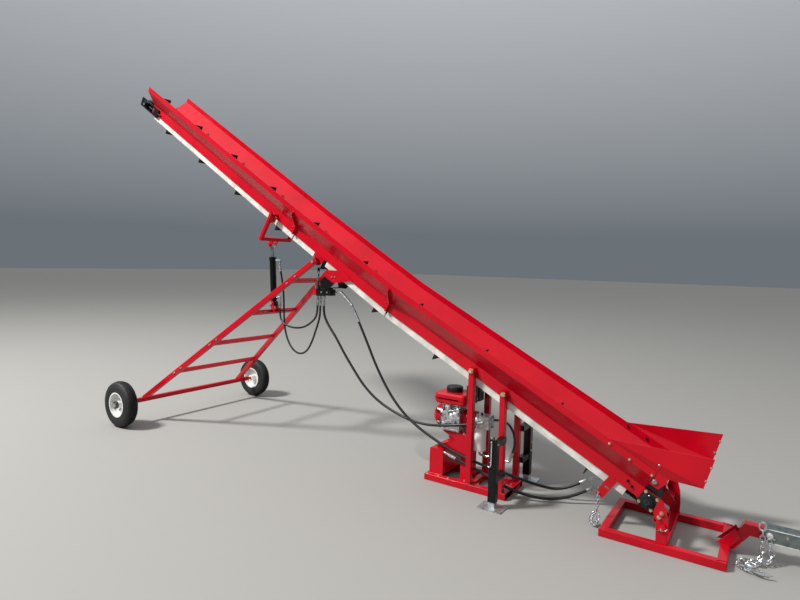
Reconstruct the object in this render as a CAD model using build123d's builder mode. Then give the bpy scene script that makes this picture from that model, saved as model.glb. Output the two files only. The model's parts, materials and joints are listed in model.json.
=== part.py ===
from build123d import *
from math import atan2, cos, hypot, pi, radians, sin, tan
import os

os.makedirs("parts", exist_ok=True)

# Beam line: three bolted sections, each a little steeper than the one below.
tail_height = 218.0
angle_lower, angle_middle, angle_upper = 27.9, 30.9, 32.0
joint_one, joint_two, beam_end = 2055.0, 3160.0, 5490.0
drum_drop = 5.0
head_axis = 5600.0

# Trough section
sheet = 3.0
web_half, web_bottom, web_top = 110.0, -28.0, 45.0
flare_half, flare_top, lip_top = 215.0, 161.0, 203.0
foot_flange = 14.0
tail_cut = -45.0
deck_start = 70.0

# Belt and drums
drum_radius, belt_thick, belt_half = 48.0, 5.0, 91.0
belt_radius = drum_radius + belt_thick
flight_height, flight_thick, flight_half = 68.0, 14.0, 86.0
flight_count = 19
first_flight = 87.0
shaft_radius = 12.5
slide_gap = 0.3

sections = [
    {"start": 0.0, "end": joint_one, "angle": angle_lower},
    {"start": joint_one, "end": joint_two, "angle": angle_middle},
    {"start": joint_two, "end": head_axis + 400, "angle": angle_upper},
]


def beam_origin(index):
    x, z = 0.0, tail_height
    for part in sections[:index]:
        run = part["end"] - part["start"]
        x -= run * cos(radians(part["angle"]))
        z += run * sin(radians(part["angle"]))
    return x, z


def section_of(s):
    return 0 if s < joint_one else 1 if s < joint_two else 2


def at(s, y, n, index=None):
    """Point at length s up the beam, side y and height n square to it."""
    i = section_of(s) if index is None else index
    x, z = beam_origin(i)
    a = radians(sections[i]["angle"])
    d = s - sections[i]["start"]
    return (x - d * cos(a) + n * sin(a), y, z + d * sin(a) + n * cos(a))


def across(s, index=None):
    """Plane square to the beam: local x to the near side, local y off the belt."""
    i = section_of(s) if index is None else index
    a = radians(sections[i]["angle"])
    return Plane(origin=at(s, 0, 0, i), x_dir=(0, -1, 0), z_dir=(-cos(a), 0, sin(a)))


def beside(s, y, index=None):
    """Plane along the beam at side y: local x up the beam, local y off the belt."""
    i = section_of(s) if index is None else index
    a = radians(sections[i]["angle"])
    return Plane(origin=at(s, y, 0, i), x_dir=(-cos(a), 0, sin(a)), z_dir=(0, 1, 0))


tail_axis_point = at(0, 0, -drum_drop)
head_axis_point = at(head_axis, 0, -drum_drop)


def side(y):
    """Upright plane facing the near side: local x is world x, local y is height."""
    return Plane(origin=(0, y, 0), x_dir=(1, 0, 0), z_dir=(0, -1, 0))


def joint_plane(index):
    """Plane that halves the bend below section index."""
    a = radians((sections[index - 1]["angle"] + sections[index]["angle"]) / 2)
    x, z = beam_origin(index)
    return Plane(origin=(x, 0, z), x_dir=(0, -1, 0), z_dir=(-cos(a), 0, sin(a)))


def bend(index, n):
    """Point of a line at height n where two sections meet."""
    half = radians((sections[index]["angle"] - sections[index - 1]["angle"]) / 2)
    a = radians((sections[index - 1]["angle"] + sections[index]["angle"]) / 2)
    x, z = beam_origin(index)
    r = n / cos(half)
    return (x + r * sin(a), z + r * cos(a))


# The parts are laid out from the ground below the tail drum and stored from the machine's middle.
middle_shift = 2070.0


def save(builder, name):
    builder.part.label = name
    placed = builder.part.moved(Location((middle_shift, 0, 0)))
    placed.label = name
    export_step(placed, f"parts/{name}.step")


# Trough sections: web, flared wall and lip in one bent sheet a side, deck between.
deck_top = drum_radius - drum_drop - slide_gap
wall_line = [
    (web_half - foot_flange, web_bottom),
    (web_half, web_bottom),
    (web_half, web_top),
    (flare_half, flare_top),
    (flare_half, lip_top),
]
flange_thick, flange_reach = 6.0, 24.0
flange_line = [
    (web_half, web_bottom),
    (web_half + flange_reach, web_bottom),
    (web_half + flange_reach, web_top - 6),
    (flare_half + flange_reach * 0.6, flare_top - 20),
    (flare_half + flange_reach * 0.6, flare_top + 10),
    (flare_half, flare_top + 10),
    (flare_half, flare_top),
    (web_half, web_top),
]


def trough(start, end, index, low_joint, high_joint, wall_from):
    """One section's sheet, cut on the bend planes and flanged where sections meet."""
    reach_low = 60 if low_joint else 0
    reach_high = 60 if high_joint else 0
    for line, low in ((wall_line, wall_from), (wall_line[:3], start)):
        if low >= start:
            with BuildSketch(across(low - reach_low, index)) as profile:
                for hand in (1, -1):
                    with BuildLine():
                        wire = Polyline([(hand * x, y) for x, y in line])
                        offset(wire, amount=sheet, side=Side.LEFT if hand > 0 else Side.RIGHT)
                    make_face()
            extrude(profile.sketch, amount=end - low + reach_low + reach_high)
    deck_from = max(start - reach_low, deck_start)
    with BuildSketch(across(deck_from, index)) as deck:
        with Locations((0, deck_top - sheet / 2)):
            Rectangle(2 * (web_half - sheet), sheet)
    extrude(deck.sketch, amount=end + reach_high - deck_from)
    if low_joint:
        split(bisect_by=joint_plane(low_joint), keep=Keep.TOP)
    if high_joint:
        split(bisect_by=joint_plane(high_joint), keep=Keep.BOTTOM)
    for joint, way in ((low_joint, 1), (high_joint, -1)):
        if joint:
            with BuildSketch(joint_plane(joint)) as flange:
                for hand in (1, -1):
                    with BuildLine():
                        Polyline([(hand * x, y) for x, y in flange_line], close=True)
                    make_face()
            extrude(flange.sketch, amount=way * flange_thick)


def plate(outline, y_in, thick, hand, holes=()):
    """Upright plate outside y_in on one side, from an outline in world x and height."""
    with BuildSketch(side(-hand * y_in)) as shape:
        Polygon(*outline, align=None)
        for x, z, r in holes:
            with Locations((x, z)):
                Circle(r, mode=Mode.SUBTRACT)
    extrude(shape.sketch, amount=hand * thick)


def box_between(low, high):
    """Plain block between two corners."""
    size = [b - a for a, b in zip(low, high)]
    with Locations(tuple((a + b) / 2 for a, b in zip(low, high))):
        Box(*size)


def tube(start, end, wide, high, wall=0.0, level=(0, 1, 0)):
    """Square tube from start to end, its wide side along level."""
    way = Vector(*end) - Vector(*start)
    with BuildSketch(Plane(origin=start, x_dir=level, z_dir=way)) as section:
        Rectangle(wide, high)
        if wall:
            Rectangle(wide - 2 * wall, high - 2 * wall, mode=Mode.SUBTRACT)
    extrude(section.sketch, amount=way.length)


def rod(start, end, radius, bore=0.0, mode=Mode.ADD):
    """Round bar or pipe from start to end."""
    way = Vector(*end) - Vector(*start)
    with BuildSketch(Plane(origin=start, z_dir=way)) as section:
        Circle(radius)
        if bore:
            Circle(bore, mode=Mode.SUBTRACT)
    extrude(section.sketch, amount=way.length, mode=mode)


def pin_hole(x, z, radius, half=400.0):
    """Cuts a level hole right across."""
    rod((x, -half, z), (x, half, z), radius, mode=Mode.SUBTRACT)


# Lift frame pivot and cylinder pins, from the beam line
pivot_s, pivot_n = 2826.0, -86.0
pivot_x, _, pivot_z = at(pivot_s, 0, pivot_n)
axle_x, wheel_radius = -4215.0, 203.0
axle_z = wheel_radius
base_pin_x, base_pin_z = -3115.0, 1128.0
eye_pin_s, eye_pin_n = 3425.0, -292.0
eye_pin_x, _, eye_pin_z = at(eye_pin_s, 0, eye_pin_n)
lift_pin_radius, pin_fit = 12.0, 0.1
pivot_pin_radius = 12.0

cheek_in, cheek_thick = 101.0, 6.0
cheek_line = [(-118, -45), (-118, 5), (-60, 38), (85, 38), (85, -22), (20, -48)]
outrig_s, outrig_n, outrig_size = -88.0, -15.0, 40.0
yoke_in, yoke_thick = 229.0, 8.0
with BuildPart() as lower:
    trough(tail_cut, joint_one, 0, None, 1, wall_from=50.0)
    for hand in (1, -1):
        with BuildSketch(beside(0, -hand * cheek_in)):
            Polygon(*cheek_line, align=None)
        extrude(amount=-hand * cheek_thick)
        x, _, z = at(outrig_s, 0, outrig_n, 0)
        a = radians(angle_lower)
        tube(
            (x, -hand * (cheek_in + cheek_thick - 1), z),
            (x, -hand * yoke_in, z),
            outrig_size,
            outrig_size,
            4.0,
            level=(cos(a), 0, -sin(a)),
        )
    pin_hole(tail_axis_point[0], tail_axis_point[2], 17.0)
save(lower, "lower_section")

gusset_line = [(-2445, 1398), (-2414, 1439), (-2241, 1436), (-2151, 1362), (-2340, 1339)]
gusset_thick = 8.0
lug_in, lug_thick = 98.0, 8.0
lug_line = [(-60, -26), (60, -26), (34, -98), (14, -112), (-14, -112), (-34, -98)]
with BuildPart() as middle:
    trough(joint_one, joint_two, 1, 1, 2, wall_from=joint_one)
    for hand in (1, -1):
        plate(gusset_line, web_half, gusset_thick, hand)
        with BuildSketch(beside(pivot_s, -hand * lug_in)):
            Polygon(*lug_line, align=None)
        extrude(amount=-hand * lug_thick)
    pin_hole(pivot_x, pivot_z, pivot_pin_radius + pin_fit)
save(middle, "middle_section")
with BuildPart() as upper:
    trough(joint_two, beam_end, 2, 2, None, wall_from=joint_two)
save(upper, "upper_section")

# Belt loop with its flights

def belt_loop(radius):
    """Closed loop round both drums at this radius, in the plane of the beam."""
    top, low = radius - drum_drop, -radius - drum_drop
    tail_top, tail_low = at(0, 0, top), at(0, 0, low)
    head_top, head_low = at(head_axis, 0, top), at(head_axis, 0, low)
    tail_far, head_far = at(-radius, 0, -drum_drop, 0), at(head_axis + radius, 0, -drum_drop)
    ends = [(p[0], p[2]) for p in (tail_top, head_top, head_far, head_low, tail_low, tail_far)]
    Polyline([ends[0], bend(1, top), bend(2, top), ends[1]])
    ThreePointArc(ends[1], ends[2], ends[3])
    Polyline([ends[3], bend(2, low), bend(1, low), ends[4]])
    ThreePointArc(ends[4], ends[5], ends[0])


loop_length = 2 * head_axis + 2 * pi * belt_radius
pitch = loop_length / flight_count
with BuildPart() as belt:
    with BuildSketch(side(belt_half)):
        with BuildLine():
            belt_loop(belt_radius)
        make_face()
        with BuildLine():
            belt_loop(drum_radius)
        make_face(mode=Mode.SUBTRACT)
    extrude(amount=2 * belt_half)
    for k in range(flight_count):
        place = first_flight + k * pitch
        if place < head_axis - 5:
            plane, root = beside(place, -flight_half), belt_radius - drum_drop
        elif place < head_axis + pi * belt_radius:
            turn = (place - head_axis) / belt_radius
            a = radians(angle_upper)
            plane = Plane(
                origin=(head_axis_point[0], -flight_half, head_axis_point[2]),
                x_dir=(-cos(a - turn), 0, sin(a - turn)),
                z_dir=(0, 1, 0),
            )
            root = belt_radius
        else:
            back = 2 * head_axis + pi * belt_radius - place
            if back < 0:
                continue
            plane, root = beside(back, -flight_half), None
        with BuildSketch(plane):
            if root is None:
                base = -belt_radius - drum_drop + 2
                Polygon(
                    (-flight_thick / 2, base),
                    (flight_thick / 2, base),
                    (3, base - flight_height - 2),
                    (-3, base - flight_height - 2),
                    align=None,
                )
            else:
                Polygon(
                    (-flight_thick / 2, root - 2),
                    (flight_thick / 2, root - 2),
                    (3, root + flight_height),
                    (-3, root + flight_height),
                    align=None,
                )
        extrude(amount=2 * flight_half)
save(belt, "belt")

# Drums with their shafts
drum_half = 95.0
head_shaft_half, tail_shaft_half = 150.0, 150.0
with BuildPart() as drums:
    for axis_point, half in ((tail_axis_point, tail_shaft_half), (head_axis_point, head_shaft_half)):
        centre = (axis_point[0], axis_point[2])
        with BuildSketch(side(drum_half)):
            with Locations(centre):
                Circle(drum_radius - slide_gap)
        extrude(amount=2 * drum_half)
        with BuildSketch(side(half)):
            with Locations(centre):
                Circle(shaft_radius)
        extrude(amount=2 * half)
save(drums, "drums")

# Square flange bearings at the tail
bearing_boss = 26.0
bearing_half, bearing_thick, boss_radius = 47.5, 14.0, 30.0
bearing_face = web_half
with BuildPart() as bearings:
    for hand in (1, -1):
        with BuildSketch(beside(0, -hand * bearing_face)):
            with Locations((0, -drum_drop)):
                RectangleRounded(2 * bearing_half, 2 * bearing_half, 12)
        extrude(amount=-hand * bearing_thick)
        with BuildSketch(beside(0, -hand * bearing_face)):
            with Locations((0, -drum_drop)):
                Circle(boss_radius)
        extrude(amount=-hand * (bearing_thick + 18))
    pin_hole(tail_axis_point[0], tail_axis_point[2], shaft_radius + 0.05)
save(bearings, "tail_bearings")

# Screw take-ups at the head
takeup_out, takeup_in = 14.0, web_half
frame_span, frame_low, frame_high = (head_axis - 230, head_axis + 90), -47.0, 37.0
frame_foot, frame_end, frame_edge = 70.0, 20.0, 14.0
window_span = (frame_span[0] + frame_foot, frame_span[1] - frame_end)
window_low, window_high = frame_low + frame_edge, frame_high - frame_edge
slide_long, slide_wide, screw_radius, screw_reach = 84.0, 32.0, 7.0, 40.0
with BuildPart() as takeups:
    for hand in (1, -1):
        with BuildSketch(beside(head_axis, -hand * takeup_in)):
            with Locations(
                ((sum(frame_span) / 2 - head_axis, (frame_low + frame_high) / 2))
            ):
                Rectangle(frame_span[1] - frame_span[0], frame_high - frame_low)
            with Locations(
                ((sum(window_span) / 2 - head_axis, (window_low + window_high) / 2))
            ):
                Rectangle(
                    window_span[1] - window_span[0], window_high - window_low, mode=Mode.SUBTRACT
                )
        extrude(amount=-hand * takeup_out)
        with BuildSketch(beside(head_axis, -hand * (takeup_in - 6))):
            with Locations((0, -drum_drop)):
                Rectangle(slide_long, window_high - window_low)
        extrude(amount=-hand * slide_wide)
        screw_y = -hand * (takeup_in + takeup_out / 2)
        rod(
            at(frame_span[0] - screw_reach, screw_y, -drum_drop, 2),
            at(head_axis - slide_long / 3, screw_y, -drum_drop, 2),
            screw_radius,
        )
        rod(
            at(head_axis, -hand * (takeup_in + slide_wide - 7), -drum_drop, 2),
            at(head_axis, -hand * (takeup_in + slide_wide + 6), -drum_drop, 2),
            bearing_boss,
        )
    pin_hole(head_axis_point[0], head_axis_point[2], shaft_radius + 0.05)
save(takeups, "head_takeups")

# Light slide strips that guide the returning belt
strip_in, strip_thick, strip_low, strip_high = 96.0, 5.0, -76.0, -44.0
strip_gap = (2740.0, 2890.0)
strips_from, strips_to = 118.0, 5440.0
strip_play = 6.0
strip_spans = [
    (strips_from, joint_one - strip_play),
    (joint_one + strip_play, strip_gap[0]),
    (strip_gap[1], joint_two - strip_play),
    (joint_two + strip_play, strips_to),
]
with BuildPart() as strips:
    for start, end in strip_spans:
        with BuildSketch(across(start)):
            for hand in (1, -1):
                with Locations((hand * (strip_in + strip_thick / 2), (strip_low + strip_high) / 2)):
                    Rectangle(strip_thick, strip_high - strip_low)
                with Locations((hand * (strip_in + 1.5), (strip_high + web_bottom) / 2)):
                    Rectangle(3, web_bottom - strip_high)
        extrude(amount=end - start)
save(strips, "return_strips")

# Hopper: two folded wings, a floor strip, lip plates and the tie tube at its foot
hopper_sheet, fold_radius = 3.0, 2.2
wing_s, wing_end_s = 325.0, -13.0
hop_in, wing_foot = flare_half - 4.5, lip_top + 1.6
plate_in, plate_low = flare_half - 6.0, 168.0
lip_a = at(wing_s, 0, wing_foot, 0)
lip_b = at(wing_end_s, 0, wing_foot, 0)
corners = {
    "a": (lip_a[0], hop_in, lip_a[2]),
    "b": (lip_b[0], hop_in, lip_b[2]),
    "c": (278.0, 255.0, 400.0),
    "d": (322.0, 264.0, 562.0),
}
tie_s, tie_n, tie_radius = 33.0, 140.0, 12.0


def wing(names, hand):
    """Flat panel through three corners on one side, thickened outward."""
    spots = [Vector(corners[k][0], -hand * corners[k][1], corners[k][2]) for k in names]
    edge = spots[1] - spots[0]
    face = Plane(origin=spots[0], x_dir=edge, z_dir=edge.cross(spots[2] - spots[0]))
    local = [face.to_local_coords(v) for v in spots]
    with BuildSketch(face) as panel:
        Polygon(*[(v.X, v.Y) for v in local], align=None)
    out = face.z_dir.Y * -hand
    extrude(panel.sketch, amount=hopper_sheet if out > 0 else -hopper_sheet)


with BuildPart() as hopper:
    for hand in (1, -1):
        wing("abc", hand)
        wing("acd", hand)
        spots = {k: Vector(x, -hand * y, z) for k, (x, y, z) in corners.items()}
        rod(spots["a"] + (spots["c"] - spots["a"]) * 0.02, spots["c"], fold_radius)
        rod(spots["b"], spots["c"], fold_radius)
        with BuildSketch(beside(0, -hand * plate_in, 0)):
            Polygon(
                (wing_end_s - 4, wing_foot + 2.5),
                (wing_s + 2, wing_foot + 2.5),
                (wing_s + 2, plate_low),
                (46, plate_low),
                (46, tie_n - 18),
                (wing_end_s + 10, tie_n - 18),
                (wing_end_s - 4, plate_low),
                align=None,
            )
        extrude(amount=-hand * hopper_sheet)
    floor_way = Vector(corners["c"][0] - corners["b"][0], 0, corners["c"][2] - corners["b"][2])
    floor_plane = Plane(
        origin=(corners["b"][0], 0, corners["b"][2]), x_dir=(0, 1, 0), z_dir=Vector(0, 1, 0).cross(floor_way)
    )
    with BuildSketch(floor_plane):
        near, wide = corners["b"][1], corners["c"][1]
        Polygon(
            (-near, 0), (near, 0), (wide, floor_way.length), (-wide, floor_way.length), align=None
        )
    extrude(amount=hopper_sheet)
    rod(
        at(tie_s, -plate_in - hopper_sheet, tie_n),
        at(tie_s, plate_in + hopper_sheet, tie_n),
        tie_radius,
    )
save(hopper, "hopper")

# Yoke plates that carry the tail on the ground frame's pins
skid_pin_x, skid_pin_z, skid_pin_radius = 94.0, 125.0, 10.0
yoke_line = [
    (81, 284),
    (64, 262),
    (46, 204),
    (62, 160),
    (64, 118),
    (80, 99),
    (108, 99),
    (124, 118),
    (120, 184),
    (98, 262),
]
with BuildPart() as yokes:
    for hand in (1, -1):
        plate(yoke_line, yoke_in, yoke_thick, hand)
    for hand in (1, -1):
        rod(
            (skid_pin_x, -hand * (yoke_in - 14), skid_pin_z),
            (skid_pin_x, -hand * 260, skid_pin_z),
            skid_pin_radius,
        )
save(yokes, "yoke_plates")

# Ground frame with its lugs and drawbar
rail_size, rail_wall = 45.0, 4.0
skid_left, skid_right, skid_half = -228.0, 401.0, 263.0
rail_mid = skid_half - rail_size / 2
cross_x = 97.0
skid_lug_in, skid_lug_thick = 240.0, 8.0
lug_profile = [(66, 44), (122, 44), (124, 118), (108, 152), (80, 152), (64, 118)]
draw_size = 60.0
gusset_outline = [(336, 44), (401, 44), (401, 30), (452, 96), (420, 142)]
with BuildPart() as skid:
    for hand in (1, -1):
        tube(
            (skid_left, -hand * rail_mid, rail_size / 2),
            (skid_right, -hand * rail_mid, rail_size / 2),
            rail_size,
            rail_size,
            rail_wall,
        )
        plate(lug_profile, skid_lug_in, skid_lug_thick, hand)
    for x in (skid_left + rail_size / 2, cross_x, skid_right - rail_size / 2):
        tube(
            (x, -rail_mid + rail_size / 2 - rail_wall, rail_size / 2),
            (x, rail_mid - rail_size / 2 + rail_wall, rail_size / 2),
            rail_size,
            rail_size,
            rail_wall,
            level=(1, 0, 0),
        )
    for y_in, hand in ((draw_size / 2, 1), (draw_size / 2, -1)):
        plate(gusset_outline, y_in, 6, hand)
    pin_hole(skid_pin_x, skid_pin_z, skid_pin_radius + pin_fit)
save(skid, "skid_frame")
draw_outline = [
    (401.3, 26),
    (401.3, 66),
    (459, 180),
    (560, 180),
    (560, 120),
    (487, 120),
    (428, 40),
    (420, 26),
]
with BuildPart() as drawbar:
    with BuildSketch(side(draw_size / 2)):
        Polygon(*draw_outline, align=None)
    extrude(amount=draw_size)
save(drawbar, "drawbar")

# Galvanised ball coupler
coupler_sheet = 5.0
coupler_outline = [(545, 112), (545, 184), (700, 184), (760, 170), (760, 124), (700, 112)]
tow_hole_x, tow_hole_z, chain_hole = 592.0, 134.0, 6.0
with BuildPart() as coupler:
    for hand in (1, -1):
        plate(
            coupler_outline,
            draw_size / 2,
            coupler_sheet,
            hand,
            [(tow_hole_x, tow_hole_z, chain_hole)],
        )
    half = draw_size / 2 + coupler_sheet
    box_between((545, -half, 184), (700, half, 184 + coupler_sheet))
    with BuildSketch(Plane.XY.offset(118)):
        with Locations((752, 0)):
            Circle(44)
    extrude(amount=52)
    with BuildSketch(Plane.XY.offset(117)):
        with Locations((752, 0)):
            Circle(25.5)
    extrude(amount=38, mode=Mode.SUBTRACT)
save(coupler, "coupler")

# Lift frame: two legs, four rungs, axle beam with spindles, and cylinder ears
leg_size, leg_wall, rung_size, rung_wall = 40.0, 3.0, 32.0, 3.0
leg_top_half, leg_foot_half = 137.0, 533.0
leg_reach = 30.0
leg_foot_z = axle_z + 19.0
rung_shares = [0.785, 0.571, 0.347, 0.125]
hub_half = 762.0
axle_radius, spindle_end = 12.5, 828.0
beam_z, beam_size, beam_half = axle_z + 3.0, 38.0, 668.0
ear_in, ear_thick = 22.0, 8.0


def leg_point(share):
    """Point on the leg's centre line, share 0 at the pivot and 1 at the axle."""
    return (
        pivot_x + share * (axle_x - pivot_x),
        leg_top_half + share * (leg_foot_half - leg_top_half),
        pivot_z + share * (leg_foot_z - pivot_z),
    )


leg_angle = atan2(leg_foot_z - pivot_z, axle_x - pivot_x)
leg_run = hypot(axle_x - pivot_x, leg_foot_z - pivot_z)
with BuildPart() as ladder:
    for hand in (1, -1):
        top, foot = leg_point(-leg_reach / leg_run), leg_point(1 + 12 / leg_run)
        tube(
            (top[0], -hand * top[1], top[2]),
            (foot[0], -hand * foot[1], foot[2]),
            leg_size,
            leg_size,
            leg_wall,
        )
    for share in rung_shares:
        x, half, z = leg_point(share)
        inner = half - leg_size / 2 + 4
        tube(
            (x, -inner, z),
            (x, inner, z),
            rung_size,
            rung_size,
            rung_wall,
            level=(cos(leg_angle), 0, sin(leg_angle)),
        )
    tube(
        (axle_x, -beam_half, beam_z),
        (axle_x, beam_half, beam_z),
        beam_size,
        beam_size,
        leg_wall,
        level=(1, 0, 0),
    )
    x, _, z = leg_point(rung_shares[2])
    for hand in (1, -1):
        plate(
            [
                (x - 8, z + 12),
                (x + 42, z - 10),
                (base_pin_x + 24, base_pin_z - 8),
                (base_pin_x + 20, base_pin_z + 14),
                (base_pin_x, base_pin_z + 24),
                (base_pin_x - 20, base_pin_z + 14),
                (base_pin_x - 24, base_pin_z - 8),
            ],
            ear_in,
            ear_thick,
            hand,
        )
        rod(
            (axle_x, -hand * (beam_half - 60), axle_z),
            (axle_x, -hand * spindle_end, axle_z),
            axle_radius,
        )
    pin_hole(base_pin_x, base_pin_z, lift_pin_radius + pin_fit, 60)
    pin_hole(pivot_x, pivot_z, pivot_pin_radius + pin_fit)
save(ladder, "lift_frame")

# Pivot pins of the lift frame
with BuildPart() as pins:
    for hand in (1, -1):
        rod((pivot_x, -hand * (lug_in - 4), pivot_z), (pivot_x, -hand * 164, pivot_z), pivot_pin_radius)
save(pins, "pivot_pins")

# Wheels
tyre_half, wall_radius = 54.0, 150.0
bead_half, bead_radius = 41.5, 102.0
shoulder_half, shoulder_radius = 36.0, 193.0
rim_radius, rim_half, rim_inside = 116.0, 48.5, 98.0
rim_seat = rim_half - 3.2
hub_radius, hub_long, disc_radius, disc_thick = 32.0, 110.0, 99.0, 8.0
stud_count, stud_ring, stud_radius, stud_long = 4, 50.0, 9.0, 12.0
for name, hand in (("near", 1), ("far", -1)):
    middle_y = -hand * hub_half
    with BuildPart() as tyre:
        with BuildSketch(Plane(origin=(axle_x, middle_y, axle_z), x_dir=(0, 1, 0), z_dir=(1, 0, 0))):
            with BuildLine():
                Polyline(
                    [
                        (-bead_half, bead_radius),
                        (-tyre_half, wall_radius),
                        (-shoulder_half, shoulder_radius),
                        (0, wheel_radius),
                        (shoulder_half, shoulder_radius),
                        (tyre_half, wall_radius),
                        (bead_half, bead_radius),
                    ],
                    close=True,
                )
            make_face()
        revolve(axis=Axis((axle_x, middle_y, axle_z), (0, 1, 0)))
    save(tyre, f"{name}_tyre")
    with BuildPart() as rim:
        with BuildSketch(Plane(origin=(axle_x, middle_y, axle_z), x_dir=(0, 1, 0), z_dir=(1, 0, 0))):
            with BuildLine():
                Polyline(
                    [
                        (-rim_half, rim_inside),
                        (-rim_half, rim_radius),
                        (-rim_seat, rim_radius),
                        (-rim_seat, bead_radius - slide_gap),
                        (rim_seat, bead_radius - slide_gap),
                        (rim_seat, rim_radius),
                        (rim_half, rim_radius),
                        (rim_half, rim_inside),
                    ],
                    close=True,
                )
            make_face()
        revolve(axis=Axis((axle_x, middle_y, axle_z), (0, 1, 0)))
        with BuildSketch(side(middle_y + disc_thick / 2)):
            with Locations((axle_x, axle_z)):
                Circle(disc_radius)
        extrude(amount=disc_thick)
        with BuildSketch(side(middle_y + hub_long / 2)):
            with Locations((axle_x, axle_z)):
                Circle(hub_radius)
        extrude(amount=hub_long)
        for turn in range(stud_count):
            a = 2 * pi * turn / stud_count
            x, z = axle_x + stud_ring * cos(a), axle_z + stud_ring * sin(a)
            rod(
                (x, middle_y - hand * disc_thick / 3, z),
                (x, middle_y - hand * (disc_thick / 2 + stud_long), z),
                stud_radius,
            )
        pin_hole(axle_x, axle_z, axle_radius + pin_fit, 900)
    save(rim, f"{name}_rim")

# Lift cylinder between the lift frame's ears and the hanger
barrel_radius, rod_radius = 27.0, 15.0
cyl_way = Vector(eye_pin_x - base_pin_x, 0, eye_pin_z - base_pin_z)
cyl_length = cyl_way.length
cyl_unit = cyl_way / cyl_length


def on_cylinder(d, y=0.0, out=0.0):
    """Point d along the cylinder from its base pin, out towards the hopper end."""
    return (
        base_pin_x + cyl_unit.X * d + cyl_unit.Z * out,
        y,
        base_pin_z + cyl_unit.Z * d - cyl_unit.X * out,
    )


barrel_from, barrel_to = 40.0, 404.0
rod_from = 140.0
eye_half, eye_radius, eye_play = 20.0, 24.0, 4.5
base_port, rod_port = 52.0, 372.0
with BuildPart() as barrel:
    rod(on_cylinder(barrel_from), on_cylinder(barrel_to), barrel_radius, rod_radius + 0.05)
    rod(on_cylinder(barrel_from - 8), on_cylinder(barrel_from + 14), barrel_radius)
    rod(on_cylinder(barrel_to - 26), on_cylinder(barrel_to - 2), barrel_radius + 3, barrel_radius)
    rod((base_pin_x, -eye_half, base_pin_z), (base_pin_x, eye_half, base_pin_z), eye_radius)
    tube(on_cylinder(8), on_cylinder(barrel_from), 34, 34)
    for port in (base_port, rod_port):
        rod(on_cylinder(port, out=barrel_radius - 2), on_cylinder(port, out=barrel_radius + 16), 11)
    pin_hole(base_pin_x, base_pin_z, lift_pin_radius + pin_fit, 60)
save(barrel, "lift_barrel")
with BuildPart() as piston:
    rod(on_cylinder(rod_from), on_cylinder(cyl_length - 20), rod_radius)
    rod((eye_pin_x, -eye_half, eye_pin_z), (eye_pin_x, eye_half, eye_pin_z), eye_radius)
    pin_hole(eye_pin_x, eye_pin_z, lift_pin_radius + eye_play, 60)
save(piston, "lift_rod")
with BuildPart() as base_pin:
    rod((base_pin_x, -38, base_pin_z), (base_pin_x, 38, base_pin_z), lift_pin_radius)
save(base_pin, "cylinder_pin")

# Black bracket that carries the hand valve under the gussets
bracket_thick = 6.0
bracket_in = web_half - bracket_thick
bracket_line = [(-2300, 1408), (-2290, 1372), (-2395, 1286), (-2470, 1290), (-2482, 1350), (-2440, 1384), (-2360, 1424)]
with BuildPart() as bracket:
    for hand in (1, -1):
        plate(bracket_line, bracket_in, bracket_thick, hand)
    box_between((-2466, -bracket_in - 1, 1292), (-2398, bracket_in + 1, 1298))
save(bracket, "valve_bracket")

# Hand valve under the bracket: body, port bosses, spool caps and the lever
valve_from, valve_to, valve_low, valve_high = -2562.0, -2372.0, 1236.0, 1285.7
valve_near, valve_far, valve_pad = -bracket_in, -46.0, 6.3
port_y, port_low, port_radius = -62.0, 1228.0, 13.0
port_places = {"raise": -2548.0, "lower": -2518.0, "pump": -2480.0}
lever_x, lever_y, lever_top, lever_radius = -2509.0, -98.0, 1422.0, 5.0
spool_z = (valve_low + valve_high) / 2
with BuildPart() as valve:
    box_between((valve_from, valve_near, valve_low), (valve_to, valve_far, valve_high))
    box_between((-2440, valve_near, valve_high), (-2400, valve_far, valve_high + valve_pad))
    for x in port_places.values():
        rod((x, port_y, port_low), (x, port_y, valve_low + 2), port_radius)
    rod((valve_from - 24, port_y, spool_z), (valve_from + 2, port_y, spool_z), 14)
    rod((valve_to - 2, port_y, spool_z), (valve_to + 8, port_y, spool_z), port_radius)
    rod((lever_x, lever_y, valve_high - 2), (lever_x, lever_y, valve_high + 30), 9)
    rod((lever_x, lever_y, valve_high), (lever_x, lever_y, lever_top), lever_radius)
    rod((lever_x, lever_y, lever_top - 2), (lever_x, lever_y, lever_top + 34), 10)
save(valve, "hand_valve")

# Hanger that carries the lift cylinder's rod end
hanger_s, hanger_half, hanger_size, hanger_low, hanger_top = 3415.0, 165.0, 30.0, -230.0, 14.0
hanger_lean = (cos(radians(angle_upper)), 0, -sin(radians(angle_upper)))
with BuildPart() as hanger:
    for hand in (1, -1):
        tube(
            at(hanger_s, -hand * hanger_half, hanger_low - hanger_size / 2),
            at(hanger_s, -hand * hanger_half, hanger_top),
            hanger_size,
            hanger_size,
            3,
        )
        with BuildSketch(across(hanger_s - hanger_size / 2 - 6)):
            with Locations((hand * (web_half + hanger_half) / 2, (hanger_top - 66) / 2)):
                Rectangle(hanger_half - web_half, hanger_top + 66)
        extrude(amount=6)
    tube(
        at(hanger_s, -hanger_half + 12, hanger_low),
        at(hanger_s, hanger_half - 12, hanger_low),
        hanger_size,
        hanger_size,
        3,
        level=hanger_lean,
    )
    for hand in (1, -1):
        with BuildSketch(beside(eye_pin_s, -hand * ear_in)):
            Polygon(
                (-24, hanger_low - 12),
                (18, hanger_low - 12),
                (24, eye_pin_n),
                (0, eye_pin_n - 24),
                (-24, eye_pin_n),
                align=None,
            )
        extrude(amount=-hand * ear_thick)
    rod((eye_pin_x, -38, eye_pin_z), (eye_pin_x, 38, eye_pin_z), lift_pin_radius)
save(hanger, "hanger")

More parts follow.
